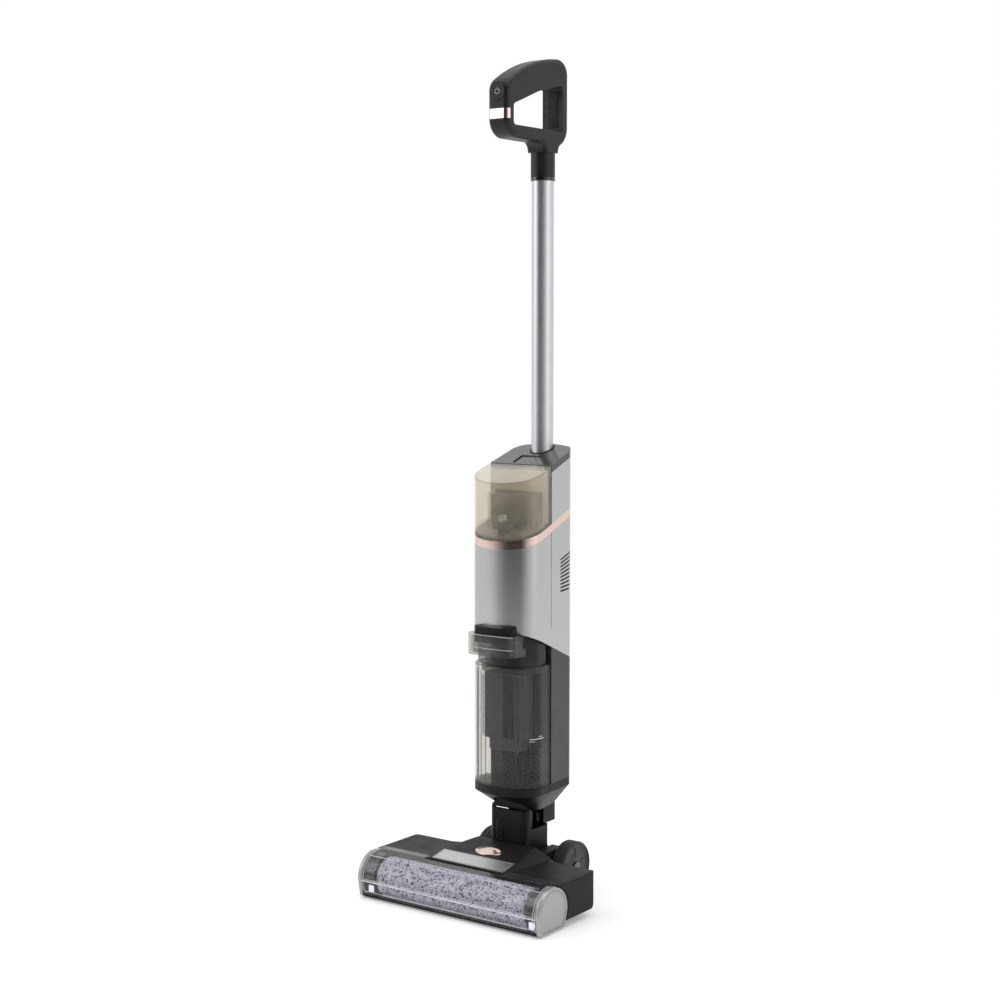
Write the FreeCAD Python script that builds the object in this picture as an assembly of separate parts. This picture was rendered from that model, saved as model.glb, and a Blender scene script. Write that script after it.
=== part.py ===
"""Cordless upright wet dry floor scrubber, as separate pieces.

Millimetres, +Z up. While a piece is being drawn, x is measured from the middle of the nozzle, y is the
setback from the nozzle's foremost edge and z is the height above the floor. export() then moves every
piece so that the origin is the centre of the footprint, on the floor, with the nozzle facing -Y.
"""
import FreeCAD
import Part
import math
import os
from FreeCAD import Vector

# ---------------------------------------------------------------- overall
nozzle_width = 290.0
overall_depth = 251.0
overall_height = 1095.0
part_gap = 0.3             # between curved or sliding pieces of different bodies
pin_clearance = 0.05       # radial, running fit of a pin in its bore

# ---------------------------------------------------------------- brushroll and its cover
roller_radius = 26.5
roller_core_radius = 17.0
roller_end_inset = 27.0    # nozzle end to nap end
cover_gap = 3.0            # nap to inside of the clear cover
cover_wall = 2.2
cover_foot = 5.4           # height of the cover's lower edge
cover_flange = 1.6         # thickness of the flange that rests on the deck
bead_half = 0.8            # half height of the rib along the foremost edge
bead_height = 0.3          # how far that rib stands out
cap_thickness = 5.5
cap_rounding = 1.5
cap_foot = 0.8             # reach of the end cap's foot behind the axis, per unit of its radius
front_rake = 4.7           # how far the lower edge lies behind the foremost edge
brush_pulley_radius = 12.0
motor_pulley_radius = 6.0
pulley_rim = 1.2
motor_shaft_radius = 2.0
belt_inset = 21.0          # nozzle end to the middle of the belt
belt_thickness = 1.5
belt_width = 6.0

# ---------------------------------------------------------------- nozzle
deck_drop = 0.7            # deck below the top of the clear cover
deck_rear = 125.0
housing_wall = 2.5
housing_ground_gap = 10.0
housing_chamfer = 7.0
housing_corner = 5.0
base_height = 2.4          # underside of the base plate above the floor
base_thickness = 2.6
base_edge = 4.0            # nozzle end to base plate
brush_opening = (19.0, 21.0)   # opening in the base plate, ahead of and behind the brushroll's axis
squeegee_front = 56.5
squeegee_thickness = 2.5
squeegee_ground_gap = 0.8
hump_front = 46.0
hump_rear = 133.0
hump_half_width = 60.0
hump_rear_half_width = 50.0
hump_rise = 11.5           # top of the hump above the deck
hump_knee_setback = 74.0   # where the label slope ends
hump_knee_rise = 5.5
label_edge = 3.0           # border round the label plate
label_thickness = 0.8
badge_setback = 93.0
badge_half = (20.0, 12.5)
badge_pocket_depth = 4.3
badge_flange = 1.3
duct_radius = 12.5         # suction duct from the brush chamber to the hose
duct_height = 41.0
motor_setback = 95.0
motor_height = 34.0
motor_radius = 17.0
motor_length = 78.0
lamp_inset = 16.5          # nozzle end to the middle of a lamp
lamp_height = 13.0
lamp_half = 4.6
lamp_front = 9.0
lamp_top = 32.0
screw_head_radius = 3.2
screw_radius = 1.5

# ---------------------------------------------------------------- wheels and knuckle
wheel_radius = 33.4
wheel_setback = 192.0
wheel_inner_x = 53.0
wheel_width = 19.0
tyre_thickness = 4.0
axle_radius = 4.0
arm_inner_x = 33.0
arm_outer_x = 50.0
arm_end_radius = 19.0
recline_setback = 165.0
recline_height = 45.0
recline_pin_radius = 6.0
yoke_half_width = 30.0
yoke_front = 135.0
yoke_depth = 56.0
yoke_wall = 4.0
yoke_corner = 9.0
yoke_top = 112.0           # of the front plate
yoke_plate = 11.0          # depth of the front plate
yoke_disc = 4.5            # depth of the disc that turns under the body, at the back of the plate
yoke_disc_radius = 37.0
yoke_side_top = 86.0
yoke_drum_radius = 24.0
steer_height = 92.0
steer_pin_radius = 4.0
steer_boss_radius = 7.0
steer_lug = 6.0            # thickness of the collar's front lug
steer_lug_radius = 9.0
lug_gap = 3.0              # between the yoke's boss and that lug
pill_x = -12.0
pill_height = 84.0
pill_half = (4.2, 13.5)
pill_pocket = 3.2
hose_radius = 13.0
hose_wall = 1.5
hose_setback = 170.5
hose_start = 5.5           # hose behind the mouth of the duct, clear of it while the neck rocks
hose_rise = 12.0           # hose above the steering axis

# ---------------------------------------------------------------- upright body
body_front = 107.0
body_back = 230.5
body_half_width = 51.0
nose_radius = 80.0         # of the flat front
nose_corner = 30.0         # radius between the front and the sides
body_taper = 4.5           # the body is this much narrower, each side, at its back
body_bottom = 137.0
body_wall = 2.5
collar_bottom = 110.0
tray_top = 147.5
seam_setback = 163.0       # front pieces end here, rear pieces start a wall further back
wall_thickness = 2.0       # of the upright chassis wall at the seam
slant = 0.36               # rise of the top and of the band, per unit of setback
skirt_slant = -0.42        # fall of the painted shell's lower edge
top_front_height = 546.0   # slanted top, at the body's front
band_front_height = 470.0  # upper edge of the accent band, at the body's front
band_height = 10.5
band_thickness = 1.3
skirt_front_height = 354.0 # lower edge of the painted shell, at the body's front
ceiling_thickness = 3.0
cap_depth = 9.0
vent_count = 10
vent_pitch = 4.6
vent_low = 400.0
vent_half = 1.05
inlet_setback = 140.0      # standpipe of the dirty tank
inlet_radius = 12.0
latch_half = 17.0          # clean tank latch
latch_front = 168.5
latch_back = 192.0
latch_sink = 1.5           # latch below the slanted top
fan_radius = 19.0
fan_low = 362.0
fan_blades = 7
fan_shaft_radius = 2.0
motor_case_radius = 23.0
motor_case_low = 374.0
motor_case_high = 430.0
battery_side_gap = 7.0     # battery case to the inside of the rear shell
battery_front = 171.0
battery_depth = 48.0
battery_height = 74.5
battery_wall = 4.0
cell_radius = 9.2
cell_length = 65.0
board_front = 172.0
board_thickness = 1.6
board_low = 250.0
board_high = 350.0
pump_radius = 13.0
pump_setback = 192.0
pump_height = 455.0

# ---------------------------------------------------------------- tanks
tank_wall = 2.0
tank_inset = 0.6           # dirty tank inside the body's outline
tank_mouth_edge = 9.0      # rim of the dirty tank round its mouth
dirty_tank_top = 308.0
collar_half_width = 38.0
collar_front = 92.5
collar_low = 322.0
collar_high = 350.0
collar_step = 332.0        # below this the collar reaches in to the tank's head
collar_wall = 3.0
head_inset = 4.5
tank_latch_high = 359.0
tank_latch_depth = 12.0    # how far the thumb latch reaches down into the collar
pipe_top = 286.0
pipe_wall = 1.6
separator_half = 30.0
separator_front = 120.0
separator_back = 156.0
separator_low = 193.0
separator_taper = 16.0     # height of its tapered foot
tower_half_width = 33.0
tower_front = 144.0
tower_top = 527.0
tower_wall = 2.5
tower_gap = 1.0
valve_radius = 9.0
valve_setback = 126.0

# ---------------------------------------------------------------- tube and handle
tube_setback = 214.0
tube_radius = 14.6
tube_wall = 1.5
tube_foot = 522.0
tube_overlap = 34.0        # tube inside the handle's sleeve
clamp_wall = 4.0
sleeve_wall = 1.4
sleeve_length = 48.4
handle_half_width = 16.0
handle_front = 113.0
handle_height = 110.0
handle_rounding = 6.5
handle_corner = 20.0       # radius of the upper rear corner
handle_front_bar = 13.5
handle_rear_bar = 15.0
handle_lower_bar = 16.0
opening_front_height = 26.0
opening_back_height = 60.0
opening_corner = 5.0
cover_depth = 6.5          # of the separate front cover of the grip
grip_band_rise = 23.0      # lower edge of the grip's band above the handle's lower edge
grip_band_height = 12.5
grip_band_thickness = 1.2
button_radius = 11.5
button_drop = 53.0         # power button below the top
button_pocket = 4.5
pad_half_width = 8.0
pad_thickness = 2.5

# ---------------------------------------------------------------- worked out from the sizes above
nozzle_end = nozzle_width / 2
cap_inner_x = nozzle_end - cap_thickness
roller_end = nozzle_end - roller_end_inset
cover_outer_radius = roller_radius + cover_gap + cover_wall
chamber_radius = cover_outer_radius + 2 * part_gap
roller_setback = cover_outer_radius + bead_height
deck_height = roller_radius + cover_outer_radius - deck_drop
hump_height = deck_height + hump_rise
hump_knee_height = deck_height + hump_knee_rise
badge_pocket_top = deck_height + badge_pocket_depth
belt_x = belt_inset - nozzle_end
lamp_x = nozzle_end - lamp_inset
yoke_back = yoke_front + yoke_depth
body_rear_half_width = body_half_width - body_taper
battery_half_width = body_rear_half_width - body_wall - battery_side_gap
board_half_width = battery_half_width - 3
body_high = top_front_height + slant * (body_back - body_front) + 50
band_low = band_front_height - band_height
separator_top = dirty_tank_top - 12.5
sleeve_radius = tube_radius + sleeve_wall
handle_bottom = overall_height - handle_height
sleeve_bottom = handle_bottom - sleeve_length
opening_front = handle_front + handle_front_bar
opening_back = overall_depth - handle_rear_bar
opening_floor = handle_bottom + handle_lower_bar
opening_front_top = opening_floor + opening_front_height
opening_back_top = opening_floor + opening_back_height
grip_band_low = handle_bottom + grip_band_rise
grip_band_high = grip_band_low + grip_band_height
button_height = overall_height - button_drop
beyond = 400.0             # half size of the blocks that only cut

X = Vector(1, 0, 0)
Y = Vector(0, 1, 0)
Z = Vector(0, 0, 1)


# ================================================================ drawing helpers
def box(x0, x1, y0, y1, z0, z1):
    return Part.makeBox(x1 - x0, y1 - y0, z1 - z0, Vector(x0, y0, z0))


def rod(radius, start, end):
    """Solid cylinder from one point to another."""
    axis = end.sub(start)
    return Part.makeCylinder(radius, axis.Length, start, axis)


def pipe(outer, inner, start, end):
    return rod(outer, start, end).cut(rod(inner, start, end))


def prism_x(outline, x0, x1):
    """Closed wire drawn at x = 0 in the Y-Z plane, made solid between two x values."""
    face = Part.Face(outline)
    face.translate(X * x0)
    return face.extrude(X * (x1 - x0))


def polygon_yz(points):
    corners = [Vector(0, y, z) for y, z in points]
    return Part.makePolygon(corners + corners[:1])


def polygon_prism_z(points, z0, z1):
    corners = [Vector(x, y, z0) for x, y in points]
    return Part.Face(Part.makePolygon(corners + corners[:1])).extrude(Z * (z1 - z0))


def rounded_block(x0, x1, y0, y1, z0, z1, radius):
    """Box whose four upright edges are rounded."""
    block = box(x0, x1, y0, y1, z0, z1)
    upright = [e for e in block.Edges if abs(e.tangentAt(e.FirstParameter).z) > 0.99]
    return block.makeFillet(radius, upright)


def oval_prism(center, half_x, half_y, z0, z1):
    ellipse = Part.Ellipse(Vector(center[0], center[1], z0), half_x, half_y)
    return Part.Face(Part.Wire(ellipse.toShape())).extrude(Z * (z1 - z0))


def pill_prism_y(x, z, half_width, half_length, y0, y1):
    """Upright stadium that runs along Y."""
    run = half_length - half_width
    middle = box(x - half_width, x + half_width, y0, y1, z - run, z + run)
    ends = [rod(half_width, Vector(x, y0, z + s * run), Vector(x, y1, z + s * run)) for s in (-1, 1)]
    return middle.fuse(ends).removeSplitter()


def both_sides(shape):
    return [shape, shape.mirror(Vector(0, 0, 0), X)]


def mirrored(shape):
    return shape.mirror(Vector(0, 0, 0), X)


def fuse_all(shapes):
    return shapes[0].fuse(shapes[1:]).removeSplitter()


def edges_along(shape, direction, test=lambda point: True):
    """Straight edges along a direction whose midpoint passes a test."""
    found = []
    for edge in shape.Edges:
        if edge.Curve.TypeId != "Part::GeomLine":
            continue
        middle = edge.valueAt((edge.FirstParameter + edge.LastParameter) / 2)
        if abs(edge.tangentAt(edge.FirstParameter).dot(direction)) > 0.999 and test(middle):
            found.append(edge)
    return found


# ================================================================ nozzle
roller_axis = Vector(0, roller_setback, roller_radius)


def roller_outline(radius, low_front, low_back, low):
    """D outline round the brushroll: straight below the axis, an arc above it."""
    y0, z0 = roller_setback, roller_radius
    front = Vector(0, y0 - radius, z0)
    back = Vector(0, y0 + radius, z0)
    foot_front = Vector(0, low_front, low)
    foot_back = Vector(0, low_back, low)
    arc = Part.Arc(front, Vector(0, y0, z0 + radius), back).toShape()
    lines = [Part.makeLine(foot_front, front), Part.makeLine(back, foot_back),
             Part.makeLine(foot_back, foot_front)]
    return Part.Wire([lines[0], arc, lines[1], lines[2]])


def hump_section(setback, top, half_top, half_foot):
    foot = deck_height - housing_wall
    points = [(-half_foot, foot), (half_foot, foot), (half_top, top), (-half_top, top)]
    corners = [Vector(x, setback, z) for x, z in points]
    return Part.makePolygon(corners + corners[:1])


def hump():
    """Raised middle of the deck: a gentle slope for the label plate, then a steadier rise to the rear."""
    front = hump_section(hump_front, deck_height + 0.1, hump_half_width, hump_half_width + 1)
    knee = hump_section(hump_knee_setback, hump_knee_height, hump_half_width - 2, hump_half_width + 12)
    rear = hump_section(hump_rear, hump_height, hump_rear_half_width - 4, hump_rear_half_width + 28)
    return fuse_all([Part.makeLoft([front, knee], True, True), Part.makeLoft([knee, rear], True, True)])


def hump_top_at(setback):
    share = (setback - hump_knee_setback) / (hump_rear - hump_knee_setback)
    return hump_knee_height + (hump_height - hump_knee_height) * share


def wheel_arm():
    """Right-hand arm behind the housing, with the wheel axle and half of the recline hinge."""
    low = wheel_radius - arm_end_radius
    beam = box(arm_inner_x, arm_outer_x, deck_rear - 5, wheel_setback, low, deck_height)
    end = rod(arm_end_radius, Vector(arm_inner_x, wheel_setback, wheel_radius),
              Vector(arm_outer_x, wheel_setback, wheel_radius))
    shoulder = prism_x(polygon_yz([(wheel_setback, deck_height), (wheel_setback, wheel_radius),
                                   (wheel_setback + arm_end_radius, wheel_radius),
                                   (wheel_setback + arm_end_radius * 0.55, deck_height - 10)]),
                       arm_inner_x, arm_outer_x)
    return fuse_all([beam, end, shoulder])


def pin_holes():
    """Bores through both arms for the recline pins and the wheel axles."""
    holes = []
    for side in (-1, 1):
        for radius, y, z in ((recline_pin_radius, recline_setback, recline_height),
                             (axle_radius, wheel_setback, wheel_radius)):
            holes.append(rod(radius, Vector(side * (arm_inner_x - 1), y, z),
                             Vector(side * (arm_outer_x + 1), y, z)))
    return holes


def nozzle_housing():
    """Upper casing of the nozzle with its hump, brush chamber, suction duct and wheel arms."""
    outer = box(-nozzle_end, nozzle_end, roller_setback + 2, deck_rear, housing_ground_gap, deck_height)
    side_edges = edges_along(outer, X, lambda p: p.y > deck_rear - 1 and p.z < housing_ground_gap + 1)
    outer = outer.makeChamfer(housing_chamfer, side_edges)
    corner_edges = edges_along(outer, Z, lambda p: p.y > deck_rear - 1)
    outer = outer.makeFillet(housing_corner, corner_edges)
    shoulder_x = hump_rear_half_width + 34
    rear_plan = [(-shoulder_x, deck_rear - 6), (shoulder_x, deck_rear - 6), (shoulder_x, deck_rear),
                 (arm_outer_x, deck_rear + 14), (-arm_outer_x, deck_rear + 14), (-shoulder_x, deck_rear)]
    rear = polygon_prism_z(rear_plan, wheel_radius - arm_end_radius, deck_height)
    body = fuse_all([outer, rear, hump()] + both_sides(wheel_arm()))
    chamber = rod(chamber_radius, roller_axis - X * beyond, roller_axis + X * beyond)
    wall_back = rod(chamber_radius + housing_wall, roller_axis - X * beyond, roller_axis + X * beyond)
    inner_x = nozzle_end - housing_wall
    cavity = box(-inner_x, inner_x, roller_setback + 2, deck_rear - housing_wall,
                 housing_ground_gap - 1, deck_height - housing_wall).cut(wall_back)
    slot = box(-arm_inner_x + 1, arm_inner_x - 1, hump_rear, overall_depth, -1, overall_height)
    belt_slot = box(belt_x - belt_width / 2 - 4, belt_x + belt_width / 2 + 4, roller_setback + 10,
                    roller_setback + chamber_radius + housing_wall + 1, housing_ground_gap + 2,
                    deck_height - 8)
    hole_x, hole_y = badge_half
    badge_hole = oval_prism((0, badge_setback), hole_x + part_gap, hole_y + part_gap,
                            deck_height, overall_height)
    pocket = oval_prism((0, badge_setback), hole_x + 3, hole_y + 3, deck_height, badge_pocket_top)
    body = body.cut([cavity, badge_hole, pocket])
    duct_start = Vector(0, roller_setback + roller_radius, duct_height)
    duct_end = Vector(0, hump_rear, duct_height)
    body = body.fuse(rod(duct_radius, duct_start, duct_end))
    passage = rod(duct_radius - 2, duct_start - Y * 10, duct_end + Y)
    return body.cut([chamber, slot, belt_slot, passage] + pin_holes()).removeSplitter()


def base_plate():
    """Floor of the nozzle: a frame round the brush opening and a pan under the motor bay."""
    half = nozzle_end - base_edge
    opening_y0 = roller_setback - brush_opening[0]
    opening_y1 = roller_setback + brush_opening[1]
    frame = box(-half, half, front_rake + 1, opening_y1 + 9, base_height, base_height + base_thickness)
    pan = box(-half + 10, half - 10, opening_y1 + 3, deck_rear - 8, base_height + 2, housing_ground_gap)
    opening = box(-roller_end - 2, roller_end + 2, opening_y0, opening_y1, 0, base_height + base_thickness + 1)
    return fuse_all([frame, pan]).cut([opening, base_screws()])


def end_cap():
    """Right-hand D-shaped cap at the end of the brushroll."""
    foot_back = roller_setback + cap_foot * cover_outer_radius
    outline = roller_outline(cover_outer_radius, front_rake, foot_back, base_height)
    cap = prism_x(outline, cap_inner_x, nozzle_end)
    rim = [e for e in cap.Edges if all(abs(v.X - nozzle_end) < 0.01 for v in e.Vertexes)
           and e.CenterOfMass.z > base_height + 1]
    cap = cap.makeFillet(cap_rounding, rim)
    notch = box(0, nozzle_end - base_edge + 1, 0, foot_back + 20, 0, base_height + base_thickness)
    return cap.cut(notch)


def brush_cover():
    """Clear cover over the brushroll, with a flange that rests on the deck either side of the hump."""
    half = cap_inner_x - part_gap
    foot_back = 2 * roller_setback + 6
    outer = prism_x(roller_outline(cover_outer_radius, front_rake, foot_back, cover_foot), -half, half)
    inner = prism_x(roller_outline(cover_outer_radius - cover_wall, front_rake + cover_wall, foot_back, 0),
                    -cap_inner_x, cap_inner_x)
    rear_y = roller_setback + 9
    shell = outer.cut(inner).common(box(-half, half, -5, rear_y, 0, deck_height + 40))
    flange_low = deck_height + part_gap
    flange = box(hump_half_width + 3, half, rear_y - 4, rear_y + 9, flange_low, flange_low + cover_flange)
    bead = box(-half, half, 0, bead_height + cover_wall / 2, roller_radius - bead_half, roller_radius + bead_half)
    return fuse_all([shell, bead] + both_sides(flange))


def lamp_housings():
    """Lamp blocks behind the lower front of the clear cover."""
    block = box(roller_end + 3.5, cap_inner_x - 1.5, lamp_front, lamp_front + 8,
                base_height + base_thickness, lamp_top)
    return Part.makeCompound(both_sides(block.cut(lamp_window(lamp_front - 1))))


def lamp_window(front):
    return box(lamp_x - lamp_half, lamp_x + lamp_half, front, lamp_front + 3,
               lamp_height - lamp_half, lamp_height + lamp_half)


def lamp_lenses():
    lens = lamp_window(lamp_front - 0.4)
    rims = edges_along(lens, X, lambda p: p.y < 9) + edges_along(lens, Z, lambda p: p.y < 9)
    return Part.makeCompound(both_sides(lens.makeFillet(0.8, rims)))


def label_plate():
    """Blank plate on the front slope of the hump."""
    start_z = deck_height + 0.1
    rise = (hump_knee_height - start_z) / (hump_knee_setback - hump_front)
    y0, y1 = hump_front + 1, hump_knee_setback - 1
    z0, z1 = start_z + rise * (y0 - hump_front), start_z + rise * (y1 - hump_front)
    outline = polygon_yz([(y0, z0), (y1, z1), (y1, z1 + label_thickness), (y0, z0 + label_thickness)])
    half = hump_half_width - label_edge
    return prism_x(outline, -half, half)


def brush_release_button():
    """Oval button on the hump, with a flange that keeps it in its pocket."""
    half_x, half_y = badge_half
    flange_low = badge_pocket_top - badge_flange - 0.5
    stem = oval_prism((0, badge_setback), half_x, half_y, flange_low, hump_height)
    rise = hump_top_at(badge_setback + 1) - hump_top_at(badge_setback)
    top = hump_top_at(badge_setback) + 1.2
    lean = prism_x(polygon_yz([(badge_setback - 30, top - 30 * rise), (badge_setback + 30, top + 30 * rise),
                               (badge_setback + 30, top + 30), (badge_setback - 30, top + 30)]), -40, 40)
    flange = oval_prism((0, badge_setback), half_x + 2, half_y + 2, flange_low, flange_low + badge_flange)
    return fuse_all([stem.cut(lean), flange])


def brush_release_spring():
    """Wave spring under the oval button."""
    low = Vector(0, badge_setback, deck_height)
    return pipe(9, 7.5, low, low + Z * (badge_pocket_depth - badge_flange - 0.5))


def roller_core():
    """Hard core of the brushroll, with an idle stub at the right and a drive stub at the left."""
    core = rod(roller_core_radius, roller_axis - X * roller_end, roller_axis + X * roller_end)
    idle = rod(axle_radius, roller_axis, roller_axis + X * (roller_end + 13))
    drive = rod(axle_radius, roller_axis - X * (roller_end + 13), roller_axis)
    return fuse_all([core, idle, drive])


def roller_nap():
    """Nap of the brushroll as one sleeve."""
    return pipe(roller_radius, roller_core_radius, roller_axis - X * roller_end, roller_axis + X * roller_end)


def roller_bearings():
    """Bearing blocks at the ends of the brushroll, standing on the base plate."""
    low, high = roller_end + 10.5, cap_inner_x - 0.5
    block = box(low, high, roller_setback - 9, roller_setback + 9, base_height + base_thickness,
                roller_radius + 10)
    bore = rod(axle_radius + pin_clearance, Vector(low - 1, roller_setback, roller_radius),
               Vector(high + 1, roller_setback, roller_radius))
    return Part.makeCompound(both_sides(block.cut(bore)))


def pulley(radius, center, bore):
    """Flat belt pulley with a rim at each side."""
    half = belt_width / 2
    left = center - X * (half - 0.2)
    right = center + X * (half - 0.2)
    wheel = rod(radius, left, right)
    rims = [rod(radius + pulley_rim, left, left + X * 0.8), rod(radius + pulley_rim, right - X * 0.8, right)]
    return fuse_all([wheel] + rims).cut(rod(bore, left - X, right + X))


def belt_axis(y, z):
    return Vector(belt_x, y, z)


def belt_loop(extra):
    """Outline of a belt that stands off both pulleys."""
    big = Part.Circle(belt_axis(roller_setback, roller_radius), X, brush_pulley_radius + extra)
    small = Part.Circle(belt_axis(motor_setback, motor_height), X, motor_pulley_radius + extra)
    run, rise = motor_setback - roller_setback, motor_height - roller_radius
    lean = math.atan2(rise, run)
    open_angle = math.acos((big.Radius - small.Radius) / math.hypot(run, rise))

    def at(circle, angle):
        return circle.Center + Vector(0, math.cos(angle), math.sin(angle)) * circle.Radius

    big_top, small_top = at(big, lean + open_angle), at(small, lean + open_angle)
    big_low, small_low = at(big, lean - open_angle), at(small, lean - open_angle)
    return Part.Wire([Part.Arc(big_low, at(big, lean + math.pi), big_top).toShape(),
                      Part.makeLine(big_top, small_top),
                      Part.Arc(small_top, at(small, lean), small_low).toShape(),
                      Part.makeLine(small_low, big_low)])


def drive_belt():
    """Closed belt round both pulleys, standing just off them."""
    width = belt_width - 2 * pulley_rim
    outer = Part.Face(belt_loop(part_gap + belt_thickness)).extrude(X * width)
    inner = Part.Face(belt_loop(part_gap)).extrude(X * width)
    belt = outer.cut(inner)
    belt.translate(X * (-width / 2))
    return belt


def brush_motor():
    axis = Vector(belt_x + belt_width / 2 + 2, motor_setback, motor_height)
    can = rod(motor_radius, axis, axis + X * motor_length)
    nose = rod(7, axis + X * motor_length, axis + X * (motor_length + 3))
    bore = rod(motor_shaft_radius + pin_clearance, axis - X, axis + X * 20)
    return fuse_all([can, nose]).cut(bore)


def motor_pulley():
    """Small pulley on the motor's shaft."""
    axis = belt_axis(motor_setback, motor_height)
    shaft = rod(motor_shaft_radius, axis - X * (belt_width / 2), axis + X * (belt_width / 2 + 18))
    return pulley(motor_pulley_radius, axis, motor_shaft_radius).fuse(shaft).removeSplitter()


def squeegee():
    """Rubber lip behind the brush opening, just off the floor."""
    return box(-roller_end, roller_end, squeegee_front, squeegee_front + squeegee_thickness,
               squeegee_ground_gap, base_height)


def base_screws():
    """Screws sunk in the base pan."""
    head_low = base_height + base_thickness - 0.5
    screws = []
    outer_x = nozzle_end - 25
    for x in (-outer_x, -outer_x / 2, outer_x / 2, outer_x):
        for y in (deck_rear - 55, deck_rear - 17):
            head = Vector(x, y, head_low)
            screws.append(fuse_all([rod(screw_head_radius, head, head + Z * 1.2),
                                    rod(screw_radius, head, head + Z * 5)]))
    return Part.makeCompound(screws)


# ================================================================ wheels
def wheel_hub():
    x0 = wheel_inner_x
    rim = wheel_radius - tyre_thickness
    center = Vector(0, wheel_setback, wheel_radius)
    disc = rod(rim, center + X * x0, center + X * (x0 + wheel_width - 1))
    dish = pipe(rim - 4, 10, center + X * (x0 + wheel_width - 3.5), center + X * (x0 + wheel_width))
    hollow = pipe(rim - 3, 8, center + X * (x0 - 1), center + X * (x0 + wheel_width - 8))
    bore = rod(axle_radius + pin_clearance, center, center + X * 100)
    return disc.cut([dish, hollow, bore])


def wheel_tyre():
    center = Vector(0, wheel_setback, wheel_radius)
    tyre = pipe(wheel_radius, wheel_radius - tyre_thickness, center + X * wheel_inner_x,
                center + X * (wheel_inner_x + wheel_width))
    edges = [e for e in tyre.Edges if e.Curve.TypeId == "Part::GeomCircle"
             and abs(e.Curve.Radius - wheel_radius) < 0.01]
    return tyre.makeFillet(2.5, edges)


def wheel_axle():
    center = Vector(0, wheel_setback, wheel_radius)
    end = wheel_inner_x + wheel_width
    shank = rod(axle_radius, center + X * (arm_inner_x + 2), center + X * end)
    head = rod(axle_radius + 2.5, center + X * (end - 0.5), center + X * (end + 1.2))
    return fuse_all([shank, head])


# ================================================================ neck
def yoke_block(top):
    return rounded_block(-yoke_half_width, yoke_half_width, yoke_front, yoke_back, recline_height, top,
                         yoke_corner)


def yoke():
    """Lower half of the knuckle: rocks on the recline pins and carries the steering pins."""
    front_slice = box(-beyond, beyond, yoke_front, yoke_front + yoke_plate, 0, beyond)
    plate = yoke_block(yoke_top).common(front_slice)
    drum = rod(yoke_drum_radius, Vector(-yoke_half_width, recline_setback, recline_height),
               Vector(yoke_half_width, recline_setback, recline_height))
    lug_half = 11.0
    lug_y0, lug_y1 = yoke_back - yoke_wall, yoke_back + 3
    rear_lug = box(-lug_half, lug_half, lug_y0, lug_y1, steer_height - 14, steer_height)
    lug_round = rod(lug_half, Vector(0, lug_y0, steer_height), Vector(0, lug_y1, steer_height))
    disc_back = yoke_front + yoke_plate
    disc = rod(yoke_disc_radius, Vector(0, disc_back - yoke_disc, steer_height), Vector(0, disc_back, steer_height))
    disc = disc.common(box(-yoke_half_width, yoke_half_width, 0, beyond, steer_height, beyond))
    shape = fuse_all([yoke_block(yoke_side_top), plate, disc, drum, rear_lug, lug_round])
    inner_x = yoke_half_width - yoke_wall
    hollow = rounded_block(-inner_x, inner_x, yoke_front + yoke_wall, yoke_back - yoke_wall,
                           recline_height + 2, yoke_top, yoke_corner - 3)
    drum_hollow = rod(yoke_drum_radius - yoke_wall, Vector(-inner_x, recline_setback, recline_height),
                      Vector(inner_x, recline_setback, recline_height))
    boss = pipe(steer_boss_radius, steer_pin_radius, Vector(0, yoke_front + yoke_wall, steer_height),
                Vector(0, yoke_front + 12, steer_height))
    mouth_half = hose_radius + 6
    mouth = box(-mouth_half, mouth_half, yoke_front - 5, recline_setback - 8, 20, duct_height + duct_radius + 3)
    shape = shape.cut([hollow, drum_hollow, mouth]).fuse(boss)
    pocket = pill(part_gap, yoke_front - 1, yoke_front + pill_pocket)
    pin_bores = [rod(recline_pin_radius + pin_clearance,
                     Vector(s * (inner_x - 1), recline_setback, recline_height),
                     Vector(s * (yoke_half_width + 1), recline_setback, recline_height)) for s in (-1, 1)]
    rear_bore = rod(steer_pin_radius, Vector(0, lug_y0 - 1, steer_height), Vector(0, lug_y1 + 2, steer_height))
    return shape.cut([pocket, rear_bore] + pin_bores).removeSplitter()


def pill(gap, y0, y1):
    """Stadium of the neck's button, widened by a gap."""
    half_width, half_length = pill_half
    return pill_prism_y(pill_x, pill_height, half_width + gap, half_length + gap, y0, y1)


def neck_button():
    """Upright pill-shaped release button on the front of the neck."""
    return pill(0, yoke_front - 0.8, yoke_front + pill_pocket - 1.4)


def recline_pins():
    pins = []
    for side in (-1, 1):
        start = Vector(side * (yoke_half_width - yoke_wall), recline_setback, recline_height)
        end = Vector(side * (arm_outer_x - 1), recline_setback, recline_height)
        pins.append(rod(recline_pin_radius, start, end))
    return Part.makeCompound(pins)


def steer_pins():
    front = rod(steer_pin_radius, Vector(0, yoke_front + yoke_wall, steer_height),
                Vector(0, collar_lug_front + steer_lug - 1, steer_height))
    rear = rod(steer_pin_radius, Vector(0, yoke_back - yoke_wall, steer_height),
               Vector(0, collar_pillar_front + 12, steer_height))
    return Part.makeCompound([front, rear])


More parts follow.
